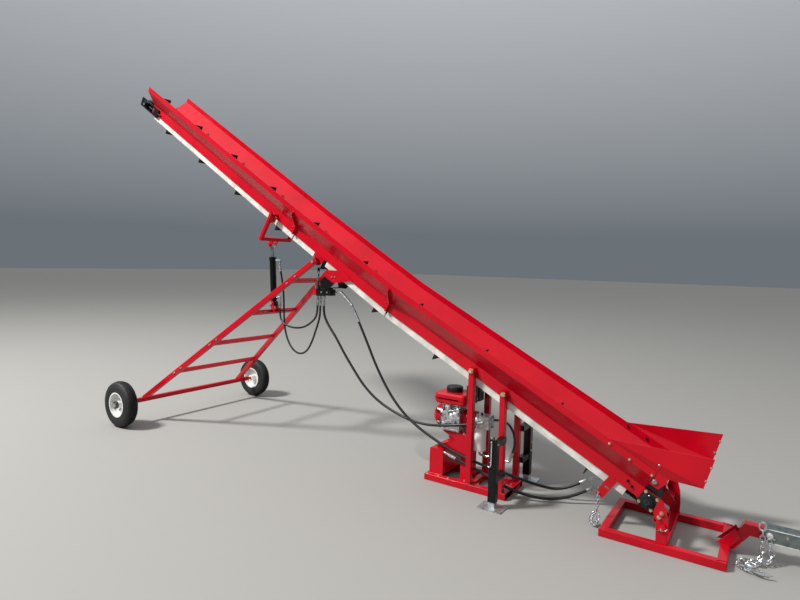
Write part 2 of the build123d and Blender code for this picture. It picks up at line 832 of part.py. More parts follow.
# Slotted chain brackets under the tail end
hook_s, hook_in, hook_thick = 205.0, 104.0, 6.0
hook_line = [(-26, web_bottom), (26, web_bottom), (34, -90), (34, -165), (-14, -165), (-20, -90)]
stow_hole = (22.0, -151.0)
with BuildPart() as hooks:
    for hand in (1, -1):
        with BuildSketch(beside(hook_s, -hand * hook_in, 0)) as shape:
            Polygon(*hook_line, align=None)
            with Locations((4, -96)):
                SlotOverall(34, 12, mode=Mode.SUBTRACT)
            with Locations(stow_hole):
                Circle(chain_hole, mode=Mode.SUBTRACT)
        extrude(amount=-hand * hook_thick)
save(hooks, "chain_brackets")

# Power stand: base rails, posts and cross members
post_size, post_wall, post_top = 40.0, 4.0, 20.0
post_mid = web_half + post_size / 2
post_low_x, post_high_x = -881.0, -1108.0
base_left, base_right, base_size = -1445.0, -838.0, 45.0
bed_leg_x = -1180.0


def web_height(x, n):
    """World height of the beam line at height n and world x on the lower section."""
    a = radians(angle_lower)
    s = (n * sin(a) - x) / cos(a)
    return tail_height + s * sin(a) + n * cos(a)


with BuildPart() as stand:
    for hand in (1, -1):
        tube(
            (base_left, -hand * post_mid, base_size / 2),
            (base_right, -hand * post_mid, base_size / 2),
            base_size,
            base_size,
            post_wall,
        )
        for x in (post_low_x, post_high_x):
            tube(
                (x, -hand * post_mid, base_size - 4),
                (x, -hand * post_mid, web_height(x, post_top)),
                post_size,
                post_size,
                post_wall,
            )
    for x in (base_left + base_size / 2, bed_leg_x, post_high_x, base_right - base_size / 2):
        tube(
            (x, -post_mid + 20, base_size / 2),
            (x, post_mid - 20, base_size / 2),
            base_size,
            base_size,
            post_wall,
            level=(1, 0, 0),
        )
save(stand, "power_stand")

# Oil tank across the stand's end
tank_from, tank_to, tank_top = -1422.0, -1316.0, 227.0
tank_near, tank_far = -120.0, 150.0
with BuildPart() as tank:
    box_between((tank_from, tank_near, base_size), (tank_to, tank_far, tank_top))
    fillet(tank.edges().filter_by(Axis.Y), 10)
    rod((-1369, 118, tank_top - 1), (-1369, 118, tank_top + 22), 26)
save(tank, "oil_tank")

# Engine bed: notched side plates that stand on the tank and a cross member
bed_top, bed_half, bed_thick = 355.0, 74.0, 8.0
bed_line = [
    (-1385, tank_top),
    (-1385, tank_top + 12),
    (-1250, 305),
    (-1340, 349),
    (-1340, bed_top),
    (bed_leg_x + 20, bed_top),
    (bed_leg_x + 20, base_size),
    (bed_leg_x - 20, base_size),
    (bed_leg_x - 20, tank_top),
]
with BuildPart() as bed:
    for hand in (1, -1):
        plate(bed_line, bed_half, bed_thick, hand)
    box_between((-1340, -bed_half - bed_thick, bed_top - 6), (bed_leg_x + 20, bed_half + bed_thick, bed_top))
    box_between((bed_leg_x - 20, -bed_half - 1, 200), (bed_leg_x - 14, bed_half + 1, 240))
save(bed, "engine_bed")

# Engine: crankcase, recoil cover, fuel tank, filler cap, muffler and air cleaner
crank_z = 443.0
block_from, block_to, block_top = -1357.0, -1212.0, 500.0
fuel_from, fuel_to, fuel_low, fuel_top, fuel_half = -1412.0, -1170.0, 545.0, 620.0, 105.0
fuel_corner, fuel_bevel, seam_reach, seam_thick = 30.0, 12.0, 5.0, 4.0
neck_half, fin_count, fin_pitch, fin_thick, fin_reach = 60.0, 4, 11.0, 4.0, 28.0
recoil_radius, recoil_long, recoil_drum, recoil_hub, recoil_taper = 80.0, 71.0, 45.0, 4.0, 35.0
with BuildPart() as crankcase:
    box_between((block_from, -95, bed_top), (block_to, 95, block_top))
    fillet(crankcase.edges().filter_by(Axis.X), 18)
    box_between((block_from + 20, -neck_half, block_top - 1), (block_to - 10, neck_half, fuel_low))
    for k in range(fin_count):
        z = block_top + fin_pitch * (k + 0.5)
        box_between(
            (block_from + 6, -neck_half - fin_reach, z),
            (block_to, neck_half + fin_reach, z + fin_thick),
        )
save(crankcase, "engine_block")
with BuildPart() as recoil:
    rod((block_from - recoil_drum, 0, crank_z), (block_from, 0, crank_z), recoil_radius)
    with BuildSketch(Plane(origin=(block_from - recoil_drum, 0, crank_z), z_dir=(-1, 0, 0))):
        Circle(recoil_radius)
    extrude(amount=recoil_long - recoil_drum, taper=recoil_taper)
    rod(
        (block_from - recoil_long - recoil_hub, 0, crank_z),
        (block_from - recoil_long + 1, 0, crank_z),
        recoil_radius / 3,
    )
save(recoil, "recoil_cover")
with BuildPart() as fuel:
    box_between((fuel_from, -fuel_half, fuel_low), (fuel_to, fuel_half, fuel_top))
    fillet(fuel.edges().filter_by(Axis.Z), fuel_corner)
    chamfer(fuel.edges().group_by(Axis.Z)[-1] + fuel.edges().group_by(Axis.Z)[0], fuel_bevel)
    with BuildSketch(Plane.XY.offset((fuel_low + fuel_top - seam_thick) / 2)):
        with Locations(((fuel_from - seam_reach + fuel_to) / 2, 0)):
            RectangleRounded(
                fuel_to - fuel_from + seam_reach, 2 * (fuel_half + seam_reach), fuel_corner
            )
    extrude(amount=seam_thick)
save(fuel, "fuel_tank")
with BuildPart() as cap:
    rod((-1302, 0, fuel_top), (-1302, 0, fuel_top + 35), 55)
    box_between((fuel_to, -83, 572), (-1118, -12, 690))
    box_between((fuel_to, 12, 572), (-1118, 83, 670))
save(cap, "air_cleaner")

# Bell housing, pump and filter
housing_to, pump_half = -1130.0, 40.0
pump_from, pump_to, pump_low, pump_high = -1108.0, -1020.0, 402.0, 490.0
pump_rim, pump_flange = 6.0, 12.0
with BuildPart() as housing:
    rod((block_to, 0, crank_z), (housing_to, 0, crank_z), 62)
save(housing, "pump_housing")
with BuildPart() as pump:
    rod((housing_to, 0, crank_z), (pump_from, 0, crank_z), pump_half)
    box_between((pump_from - 2, -pump_half, pump_low), (pump_to, pump_half, pump_high))
    box_between(
        (pump_from, -pump_half - pump_rim, pump_low - pump_rim),
        (pump_from + pump_flange, pump_half + pump_rim, pump_high + pump_rim),
    )
save(pump, "pump")
filter_x, filter_y, filter_radius = -1108.0, 20.0, 42.0
filter_low, filter_seat, filter_head = 235.0, 375.0, pump_low - pump_rim
with BuildPart() as oil_filter:
    rod((filter_x, filter_y, filter_low), (filter_x, filter_y, filter_seat), filter_radius)
    box_between(
        (housing_to + 2, filter_y - filter_radius, filter_seat),
        (filter_x + filter_radius, filter_y + filter_radius, filter_head),
    )
save(oil_filter, "oil_filter")

# Jacks
jack_x, jack_y, jack_size, jack_wall = -862.0, 290.0, 50.0, 4.0
jack_low, jack_high, jack_cap = 42.0, 436.0, 5.0
jack_bracket_heights = (180.0, 400.0)
leg_inner = jack_size - 2 * jack_wall - 0.1
with BuildPart() as jacks:
    for hand in (1, -1):
        y, half = -hand * jack_y, jack_size / 2
        tube((jack_x, y, jack_low), (jack_x, y, jack_high), jack_size, jack_size, jack_wall)
        box_between(
            (jack_x - half, y - half, jack_high),
            (jack_x + half, y + half, jack_high + jack_cap),
        )
        for z in jack_bracket_heights:
            tube(
                (jack_x, -hand * (post_mid + post_size / 2), z),
                (jack_x, -hand * (jack_y - half), z),
                post_size,
                post_size,
                3,
                level=(1, 0, 0),
            )
save(jacks, "jack_tubes")
for name, hand in (("near", 1), ("far", -1)):
    with BuildPart() as leg:
        tube((jack_x, -hand * jack_y, 5), (jack_x, -hand * jack_y, 380), leg_inner, leg_inner, 3)
        box_between((jack_x - 80, -hand * jack_y - 60, 0), (jack_x + 80, -hand * jack_y + 60, 6))
    save(leg, f"{name}_jack_leg")

# Hydraulic motor on the far side of the tail, with a flat port block
motor_near, motor_far, motor_radius = 150.3, 250.0, 48.0
motor_port_x, port_block_low, port_block_high = -62.0, 185.0, 240.0
motor_x, _, motor_z = tail_axis_point
with BuildPart() as motor:
    rod((motor_x, motor_near, motor_z), (motor_x, motor_far, motor_z), motor_radius)
    box_between(
        (motor_port_x, motor_near + 8, port_block_low),
        (motor_x - motor_radius / 2, motor_far - 24, port_block_high),
    )
    box_between(
        (motor_x - 40, motor_near, motor_z - 54),
        (motor_x + 40, motor_near + 10, motor_z + 54),
    )
save(motor, "drive_motor")

# Hydraulic hoses: each route starts at its first fitting, and each run ends at a listed point
hose_radius, thin_hose_radius, run_share = 9.5, 8.0, 0.45
raise_x, lower_x, pump_port_x = port_places.values()
hoses = {
    "motor_feed_hose": {
        "radius": hose_radius,
        "route": [
            (-2120, -62, 1047),
            (-2032, -66, 897),
            (-1947, -72, 741),
            (-1820, -80, 559),
            (-1688, -88, 428),
            (-1551, -96, 344),
            (-1400, -98, 278),
            (-1240, -96, 218),
            (-1090, -88, 184),
            (-970, -68, 160),
            (-880, -32, 134),
            (-786, 10, 104),
            (-684, 60, 72),
            (-590, 84, 64),
            (-503, 110, 92),
            (-447, 134, 127),
        ],
    },
    "motor_return_hose": {
        "radius": hose_radius,
        "route": [
            (-1228, -99, 180),
            (-1125, -94, 148),
            (-1010, -82, 114),
            (-910, -90, 86),
            (-822, -92, 62),
            (-740, -62, 40),
            (-652, -18, 22),
            (-565, 30, 24),
            (-470, 78, 52),
            (-400, 118, 92),
        ],
    },
    "pump_hose": {
        "radius": hose_radius,
        "route": [
            (pump_port_x, port_y, 1150),
            (pump_port_x, port_y, 1092),
            (-2455, -61, 1034),
            (-2410, -61, 975),
            (-2345, -62, 905),
            (-2260, -64, 790),
            (-2169, -66, 685),
            (-2068, -68, 573),
            (-1961, -68, 490),
            (-1854, -66, 435),
            (-1744, -66, 397),
            (-1629, -66, 368),
            (-1489, -86, 366),
            (-1354, -112, 389),
            (-1225, -113, 417),
            (-1128, -85, 433),
        ],
    },
    "pump_loop_hose": {
        "radius": thin_hose_radius,
        "route": [
            (-1000, 2, 466),
            (-940, 4, 476),
            (-892, 6, 455),
            (-862, 8, 412),
            (-848, 8, 361),
            (-849, 8, 310),
            (-862, 8, 268),
        ],
    },
    "raise_hose": {
        "radius": thin_hose_radius,
        "route": [
            (-3040, 0, 1090),
            (-3040, 0, 1040),
            (-3015, -6, 985),
            (-2965, -15, 955),
            (-2885, -26, 940),
            (-2790, -38, 940),
            (-2700, -48, 958),
            (-2622, -56, 1000),
            (-2566, -61, 1046),
            (raise_x, port_y, 1100),
            (raise_x, port_y, 1150),
        ],
    },
    "lower_hose": {
        "radius": thin_hose_radius,
        "route": [
            (-3036, 0, 1412),
            (-3030, 14, 1330),
            (-3025, 24, 1240),
            (-3020, 27, 1130),
            (-3012, 22, 1010),
            (-2988, 14, 890),
            (-2930, 4, 790),
            (-2850, -8, 730),
            (-2760, -20, 720),
            (-2680, -32, 760),
            (-2615, -44, 850),
            (-2565, -54, 955),
            (-2532, -60, 1025),
            (lower_x, port_y, 1090),
            (lower_x, port_y, 1150),
        ],
    },
}


def bend_radii(points):
    """Radius at each inner point of a route, as large as its two runs allow."""
    radii = []
    for before, here, after in zip(points, points[1:], points[2:]):
        first, second = Vector(*here) - Vector(*before), Vector(*after) - Vector(*here)
        turn = radians(first.get_angle(second))
        radii.append(run_share * min(first.length, second.length) / tan(turn / 2))
    return radii


for name, cord in hoses.items():
    radii = bend_radii(cord["route"])
    with BuildPart() as hose:
        with BuildLine() as path:
            FilletPolyline(*cord["route"], radius=radii)
        with BuildSketch(Plane(origin=path.line @ 0, z_dir=path.line % 0)):
            Circle(cord["radius"])
        sweep(path=path.line)
    save(hose, name)
    length = sum(edge.length for edge in path.edges())
    share = hose.part.volume / (pi * cord["radius"] ** 2 * length)
    print(name, round(length), round(share, 4), [round(r) for r in radii])

# Swaged ends and adapters of the hoses on the valve, the pump, the tank and the pipes
swage_radius, thin_swage_radius, adapter_radius, neck_radius = 12.5, 11.0, 9.0, 7.5


def swage(route, last, long, radius):
    """Swaged end in line with a hose's first or last run; gives the point at its far end."""
    here, inner = (route[-1], route[-2]) if last else (route[0], route[1])
    end = Vector(*here) + (Vector(*here) - Vector(*inner)).normalized() * long
    rod(here, end, radius)
    return end


def pipe_run(route, bend_radius, radius):
    """Bent steel pipe along a route."""
    with BuildLine() as path:
        FilletPolyline(*route, radius=bend_radius)
    with BuildSketch(Plane(origin=path.line @ 0, z_dir=path.line % 0)) as bore:
        Circle(radius)
    sweep(bore.sketch, path=path.line)


routes = {name: cord["route"] for name, cord in hoses.items()}
pipe_radius, swage_long = 8.0, 52.0
stub = 14.0
with BuildPart() as fittings:
    for key, name, last in (
        ("raise", "raise_hose", True),
        ("lower", "lower_hose", True),
        ("pump", "pump_hose", False),
    ):
        end = swage(routes[name], last, swage_long, thin_swage_radius)
        rod(end, (port_places[key], port_y, port_low), adapter_radius)
    # Coupling of the motor's feed hose at the valve
    coupler_end = swage(routes["motor_feed_hose"], False, 96.0, swage_radius)
    neck_end = swage(routes["motor_feed_hose"], False, 140.0, neck_radius)
    valve_end = (-2304.0, port_y, 1266.0)
    rod(neck_end, valve_end, swage_radius)
    rod((valve_to + 8, port_y, spool_z), (valve_to + 8 + stub, port_y, spool_z), adapter_radius)
    rod((valve_to + 4 + stub, port_y, spool_z), valve_end, adapter_radius)
    # Ends of the two motor hoses with the steel pipes to the motor's port block
    for name, knee, seat_y, seat_z in (
        ("motor_feed_hose", (-200, 168, 222), 176, 224),
        ("motor_return_hose", (-190, 190, 184), 210, 200),
    ):
        end = swage(routes[name], True, swage_long, swage_radius)
        port = (motor_port_x, seat_y, seat_z)
        pipe_run([end, knee, (motor_port_x - 2 * stub, seat_y, seat_z), port], 24.0, pipe_radius)
    # Return hose at the oil tank
    end = swage(routes["motor_return_hose"], False, swage_long, swage_radius)
    tank_port = (tank_to, -104.0, 204.0)
    rod(tank_port, (tank_to + stub, *tank_port[1:]), adapter_radius)
    rod((tank_to + stub - 4, *tank_port[1:]), end, adapter_radius)
    # Feed from the pump
    end = swage(routes["pump_hose"], True, 40.0, swage_radius)
    pump_port = (-1062.0, -pump_half, 445.0)
    knee = (pump_port[0], pump_port[1] - stub, pump_port[2])
    rod(knee, pump_port, adapter_radius)
    rod(end, (knee[0] + 4, knee[1] + 2, knee[2]), adapter_radius)
    # Loop from the pump to the filter, with the pipe under the filter
    end = swage(routes["pump_loop_hose"], False, 10.0, thin_swage_radius)
    rod((pump_to, end.Y, end.Z), end, adapter_radius)
    end = swage(routes["pump_loop_hose"], True, 34.0, thin_swage_radius)
    seat = (filter_x, filter_y, filter_low)
    pipe_run([end, (end.X - 8, 8, 202), (filter_x, filter_y, 202), seat], 14.0, pipe_radius)
save(fittings, "hose_fittings")

# Elbows on the lift cylinder's ports, with the swaged ends of its hoses
boss_out = barrel_radius + 16
with BuildPart() as elbows:
    for port, name in ((base_port, "raise_hose"), (rod_port, "lower_hose")):
        end = swage(routes[name], False, swage_long, thin_swage_radius)
        reach = boss_out + (end.X - on_cylinder(port, out=boss_out)[0]) / cyl_unit.Z
        rod(on_cylinder(port, out=boss_out), on_cylinder(port, out=reach + 6), adapter_radius)
        rod(end, on_cylinder(port + 6, out=reach), adapter_radius)
save(elbows, "cylinder_fittings")

# Chains of flat-sided links: outline half length and half width, wire and pitch
link_half, link_wide, link_wire = 17.0, 10.0, 5.0
link_pitch = 2 * (link_half - link_wire) - 0.4
link_corner = 5.0


def link_outline(half_long, half_wide, corner):
    """Eight corners of a long link, upright."""
    step = half_long - corner
    return [
        (half_wide, step),
        (half_wide - corner, half_long),
        (corner - half_wide, half_long),
        (-half_wide, step),
        (-half_wide, -step),
        (corner - half_wide, -half_long),
        (half_wide - corner, -half_long),
        (half_wide, -step),
    ]


def chain(x, y, hole_z, count):
    """Links that hang from a hole, turned a quarter from one to the next; gives the lowest seat."""
    seat = hole_z - chain_hole + 0.9
    for k in range(count):
        z = seat + link_wire - link_half - k * link_pitch
        x_dir = (0, 1, 0) if k % 2 == 0 else (1, 0, 0)
        z_dir = (1, 0, 0) if k % 2 == 0 else (0, -1, 0)
        with BuildSketch(Plane(origin=(x, y, z), x_dir=x_dir, z_dir=z_dir)) as ring:
            Polygon(*link_outline(link_half, link_wide, link_corner), align=None)
            inner = link_outline(link_half - link_wire, link_wide - link_wire, link_corner / 2)
            Polygon(*inner, align=None, mode=Mode.SUBTRACT)
        extrude(ring.sketch, amount=link_wire / 2, both=True)
    return z - link_half + link_wire


stow_x, stow_y, stow_z = at(hook_s + stow_hole[0], -hook_in - hook_thick / 2, stow_hole[1], 0)
with BuildPart() as stow_chain:
    chain(stow_x, stow_y, stow_z, 6)
save(stow_chain, "stow_chain")

hook_eye, hook_bow, hook_plate = (11.0, 6.5), (16.0, 8.5), 5.0
with BuildPart() as tow_chain:
    tow_y = -draw_size / 2 - coupler_sheet / 2
    seat = chain(tow_hole_x, tow_y, tow_hole_z, 3)
    eye_z = seat + 0.8 - hook_eye[1]
    bow_z = eye_z - hook_eye[0] - hook_bow[0] - 2
    with BuildSketch(side(tow_y + hook_plate / 2)) as hook:
        with Locations((tow_hole_x, eye_z)):
            Circle(hook_eye[0])
        with Locations((tow_hole_x, bow_z)):
            Circle(hook_bow[0])
        with Locations((tow_hole_x, (eye_z + bow_z) / 2 + 2)):
            Rectangle(hook_eye[0], hook_eye[0] + 16)
        with Locations((tow_hole_x, eye_z)):
            Circle(hook_eye[1], mode=Mode.SUBTRACT)
        with Locations((tow_hole_x, bow_z)):
            Circle(hook_bow[1], mode=Mode.SUBTRACT)
        with Locations((tow_hole_x + hook_bow[0] / 2 + 4, bow_z + 7)):
            Rectangle(hook_bow[0], 15, mode=Mode.SUBTRACT)
    extrude(hook.sketch, amount=hook_plate)
save(tow_chain, "tow_chain")
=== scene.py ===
import json
import math

import bmesh
import bpy
from mathutils import Matrix, Vector


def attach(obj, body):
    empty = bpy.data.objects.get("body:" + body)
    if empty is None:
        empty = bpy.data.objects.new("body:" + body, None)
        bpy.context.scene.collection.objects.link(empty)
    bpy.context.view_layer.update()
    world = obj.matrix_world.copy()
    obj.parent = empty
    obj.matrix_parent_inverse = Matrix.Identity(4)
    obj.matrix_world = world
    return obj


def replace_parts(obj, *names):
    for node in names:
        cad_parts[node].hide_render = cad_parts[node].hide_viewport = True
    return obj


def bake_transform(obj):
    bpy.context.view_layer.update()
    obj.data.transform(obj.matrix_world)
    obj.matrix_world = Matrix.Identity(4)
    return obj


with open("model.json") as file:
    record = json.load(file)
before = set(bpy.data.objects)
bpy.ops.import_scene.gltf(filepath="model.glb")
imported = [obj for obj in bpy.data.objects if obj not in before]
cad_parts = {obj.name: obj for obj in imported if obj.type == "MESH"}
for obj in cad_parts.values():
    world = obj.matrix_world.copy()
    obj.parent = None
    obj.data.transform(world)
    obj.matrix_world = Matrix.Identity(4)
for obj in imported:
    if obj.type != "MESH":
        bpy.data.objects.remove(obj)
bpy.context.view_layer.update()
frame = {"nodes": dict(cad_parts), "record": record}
print("frame loaded")

# Camera where the photograph was taken
view = {"place": (2.5863, -3.4407, 1.5131), "turn": 33.79, "down": 3.86, "roll": 1.42, "lens": 25.11}
cameraData = bpy.data.cameras.new("camera")
cameraData.lens = view["lens"]
cameraData.sensor_width = 36.0
cameraData.clip_end = 200.0
camera = bpy.data.objects.new("camera", cameraData)
bpy.context.scene.collection.objects.link(camera)
camera.matrix_world = (
    Matrix.Translation(view["place"])
    @ Matrix.Rotation(math.radians(view["turn"]), 4, "Z")
    @ Matrix.Rotation(math.radians(90 - view["down"]), 4, "X")
    @ Matrix.Rotation(math.radians(view["roll"]), 4, "Z")
)
bpy.context.scene.camera = camera
bpy.context.scene.view_settings.view_transform = "Standard"


def srgb(code):
    # sRGB hex to the linear colour that the shaders take
    parts = [int(code[i:i + 2], 16) / 255 for i in (1, 3, 5)]
    return [c / 12.92 if c <= 0.04045 else ((c + 0.055) / 1.055) ** 2.4 for c in parts] + [1.0]


def addNode(tree, kind, inputs=None, links=None, **settings):
    made = tree.nodes.new(kind)
    for name, value in settings.items():
        setattr(made, name, value)
    for key, value in (inputs or {}).items():
        made.inputs[key].default_value = value
    for key, socket in (links or {}).items():
        tree.links.new(socket, made.inputs[key])
    return made


def newFinish(name, **shader):
    # A material with its shader's constant values set on the shader itself
    finish = bpy.data.materials.new(name)
    finish.use_nodes = True
    body = finish.node_tree.nodes["Principled BSDF"]
    for key, value in shader.items():
        body.inputs[key.replace("_", " ")].default_value = value
    spot = addNode(finish.node_tree, "ShaderNodeTexCoord").outputs["Object"]
    return finish, finish.node_tree, body, spot


def blendColours(tree, low, high, share):
    mixed = addNode(
        tree, "ShaderNodeMix", {"A": low, "B": high} if isinstance(low, list) else {"B": high},
        {"Factor": share} if isinstance(low, list) else {"Factor": share, "A": low}, data_type="RGBA",
    )
    return mixed.outputs["Result"]


def perMetre(millimetres):
    # Noise scale whose lumps are about this far apart
    return 1000.0 / millimetres


# Polyester powder enamel, baked: a smooth gloss with faint orange peel, yard dust settled low down
enamel = {
    "red": {"deep": "#b00219", "face": "#c2031d", "dusty": "#992a37", "rough": 0.25, "peel": 0.012},
    "black": {"deep": "#070708", "face": "#0d0d0f", "dusty": "#2c2b29", "rough": 0.27, "peel": 0.04},
    "white": {"deep": "#d4d4d0", "face": "#ecece8", "dusty": "#b9b4aa", "rough": 0.25, "peel": 0.03},
    "bearingGreen": {"deep": "#101614", "face": "#1b2522", "dusty": "#3a3d38", "rough": 0.38, "peel": 0.35},
    # The filter's white is brighter than the white enamel: painted light, a lit copy of the same white for a filter
    # that sits in shade
    "filterWhitePaintedLit": {"deep": "#e9ebe9", "face": "#fbfcfa", "dusty": "#cfccc3", "rough": 0.22, "peel": 0.03},
}


def bakedEnamel(name, paint):
    finish, tree, body, spot = newFinish(
        name, IOR=1.5, Specular_IOR_Level=0.24, Coat_Weight=0.08, Coat_Roughness=0.08
    )
    cloud = addNode(tree, "ShaderNodeTexNoise", {"Scale": perMetre(260), "Detail": 3.0}, {"Vector": spot})
    spread = addNode(
        tree, "ShaderNodeMapRange", {"From Min": 0.3, "From Max": 0.7}, {"Value": cloud.outputs["Fac"]}
    )
    coat = blendColours(tree, srgb(paint["deep"]), srgb(paint["face"]), spread.outputs["Result"])
    # Dust: more near the ground and in blotches some 60 mm across
    place = addNode(tree, "ShaderNodeSeparateXYZ", links={"Vector": spot})
    low = addNode(
        tree, "ShaderNodeMapRange", {"From Min": 0.5, "From Max": 0.0, "To Max": 0.12}, {"Value": place.outputs["Z"]}
    )
    blotch = addNode(tree, "ShaderNodeTexNoise", {"Scale": perMetre(60), "Detail": 3.0}, {"Vector": spot})
    dust = addNode(
        tree, "ShaderNodeMath", links={0: low.outputs["Result"], 1: blotch.outputs["Fac"]}, operation="MULTIPLY"
    )
    colour = blendColours(tree, coat, srgb(paint["dusty"]), dust.outputs["Value"])
    tree.links.new(colour, body.inputs["Base Color"])
    rough = addNode(
        tree, "ShaderNodeMapRange", {"To Min": paint["rough"] - 0.02, "To Max": paint["rough"] + 0.04},
        {"Value": blotch.outputs["Fac"]},
    )
    tree.links.new(rough.outputs["Result"], body.inputs["Roughness"])
    # Orange peel is about 2 mm; drawn at 5 mm so that it shows
    peel = addNode(tree, "ShaderNodeTexNoise", {"Scale": perMetre(5), "Detail": 2.0}, {"Vector": spot})
    bump = addNode(
        tree, "ShaderNodeBump", {"Strength": paint["peel"], "Distance": 0.001}, {"Height": peel.outputs["Fac"]}
    )
    tree.links.new(bump.outputs["Normal"], body.inputs["Normal"])
    return finish


redEnamel = bakedEnamel("redEnamel", enamel["red"])
blackEnamel = bakedEnamel("blackEnamel", enamel["black"])
whiteEnamel = bakedEnamel("whiteEnamel", enamel["white"])
bearingIron = bakedEnamel("bearingIron", enamel["bearingGreen"])
# Filter white: painted light, brighter than the white enamel
filterEnamelPaintedLit = bakedEnamel("filterEnamelPaintedLit", enamel["filterWhitePaintedLit"])

# Vulcanised rubber: deep grey black with a dry dusty bloom; the belt has its cloth's weave showing through
rubber = {
    "tyre": {"dark": "#0b0b0c", "bloom": "#23221f", "rough": 0.68, "grain": 3.0, "bump": 0.25},
    "belt": {"dark": "#080809", "bloom": "#1a1918", "rough": 0.6, "grain": 4.0, "bump": 0.35},
    "hose": {"dark": "#070708", "bloom": "#151413", "rough": 0.44, "grain": 2.0, "bump": 0.3},
}


def blackRubber(name, kind):
    finish, tree, body, spot = newFinish(name, IOR=1.52)
    patches = addNode(tree, "ShaderNodeTexNoise", {"Scale": perMetre(90), "Detail": 6.0}, {"Vector": spot})
    share = addNode(
        tree, "ShaderNodeMapRange", {"From Min": 0.42, "From Max": 0.75, "To Max": 0.8},
        {"Value": patches.outputs["Fac"]},
    )
    colour = blendColours(tree, srgb(kind["dark"]), srgb(kind["bloom"]), share.outputs["Result"])
    tree.links.new(colour, body.inputs["Base Color"])
    rough = addNode(
        tree, "ShaderNodeMapRange", {"To Min": kind["rough"] - 0.1, "To Max": kind["rough"] + 0.12},
        {"Value": patches.outputs["Fac"]},
    )
    tree.links.new(rough.outputs["Result"], body.inputs["Roughness"])
    grain = addNode(tree, "ShaderNodeTexNoise", {"Scale": perMetre(kind["grain"]), "Detail": 4.0}, {"Vector": spot})
    bump = addNode(
        tree, "ShaderNodeBump", {"Strength": kind["bump"], "Distance": 0.0006}, {"Height": grain.outputs["Fac"]}
    )
    tree.links.new(bump.outputs["Normal"], body.inputs["Normal"])
    return finish


tyreRubber = blackRubber("tyreRubber", rubber["tyre"])
beltRubber = blackRubber("beltRubber", rubber["belt"])
hoseRubber = blackRubber("hoseRubber", rubber["hose"])

# Plain metals: bright zinc with a faint yellow passivate, dipped zinc with its spangle, turned steel, cast aluminium
metal = {
    "zincPlate": {"dark": "#8d8f90", "light": "#d6d8d8", "rough": 0.28, "lump": 14, "bump": 0.05},
    "yellowZinc": {"dark": "#b3a67c", "light": "#f0e8cb", "rough": 0.3, "lump": 14, "bump": 0.05},
    # The next zinc is near white, for the coupler's rolled edges: a painted highlight, a lit copy of the coupler's
    # dipped zinc
    "paintedHighlightZinc": {"dark": "#dfe2e3", "light": "#fcfdfd", "rough": 0.55, "lump": 20, "bump": 0.03},
    "footZinc": {"dark": "#9b9fa2", "light": "#cdd1d3", "rough": 0.5, "lump": 26, "bump": 0.04},
    "chainZinc": {"dark": "#a3a8ab", "light": "#e9ecee", "rough": 0.26, "lump": 9, "bump": 0.06},
    "dippedZinc": {"dark": "#6b7371", "light": "#909896", "rough": 0.36, "lump": 34, "bump": 0.06},
    "turnedSteel": {"dark": "#85878a", "light": "#c9cbcd", "rough": 0.22, "lump": 40, "bump": 0.02},
    "castAluminium": {"dark": "#8d9092", "light": "#f0f2f2", "rough": 0.34, "lump": 22, "bump": 0.12},
    "chromedRod": {"dark": "#9fa2a6", "light": "#e4e6e8", "rough": 0.12, "lump": 60, "bump": 0.01},
}


def plainMetal(name, kind):
    finish, tree, body, spot = newFinish(name, Metallic=1.0)
    spangle = addNode(tree, "ShaderNodeTexVoronoi", {"Scale": perMetre(kind["lump"])}, {"Vector": spot})
    stain = addNode(tree, "ShaderNodeTexNoise", {"Scale": perMetre(35), "Detail": 5.0}, {"Vector": spot})
    both = addNode(
        tree, "ShaderNodeMath", links={0: spangle.outputs["Distance"], 1: stain.outputs["Fac"]}, operation="ADD"
    )
    share = addNode(
        tree, "ShaderNodeMapRange", {"From Min": 0.5, "From Max": 1.3}, {"Value": both.outputs["Value"]}
    )
    colour = blendColours(tree, srgb(kind["dark"]), srgb(kind["light"]), share.outputs["Result"])
    tree.links.new(colour, body.inputs["Base Color"])
    rough = addNode(
        tree, "ShaderNodeMapRange", {"To Min": kind["rough"] - 0.06, "To Max": kind["rough"] + 0.16},
        {"Value": stain.outputs["Fac"]},
    )
    tree.links.new(rough.outputs["Result"], body.inputs["Roughness"])
    bump = addNode(
        tree, "ShaderNodeBump", {"Strength": kind["bump"], "Distance": 0.0008}, {"Height": stain.outputs["Fac"]}
    )
    tree.links.new(bump.outputs["Normal"], body.inputs["Normal"])
    return finish


zincPlate = plainMetal("zincPlate", metal["zincPlate"])
yellowZinc = plainMetal("yellowZinc", metal["yellowZinc"])
chainZinc = plainMetal("chainZinc", metal["chainZinc"])
# Near-white zinc: painted highlight on the coupler's edges
paintedHighlightZinc = plainMetal("paintedHighlightZinc", metal["paintedHighlightZinc"])
footZinc = plainMetal("footZinc", metal["footZinc"])
dippedZinc = plainMetal("dippedZinc", metal["dippedZinc"])
turnedSteel = plainMetal("turnedSteel", metal["turnedSteel"])
castAluminium = plainMetal("castAluminium", metal["castAluminium"])
chromedRod = plainMetal("chromedRod", metal["chromedRod"])

# Extruded polyethylene strip and moulded engine plastic: waxy, with a fine grain
plastic = {
    "guideStrip": {"dark": "#bfbdb4", "light": "#dedcd4", "rough": 0.38, "bump": 0.1},
    "mouldedBlack": {"dark": "#070708", "light": "#101012", "rough": 0.46, "bump": 0.25},
}


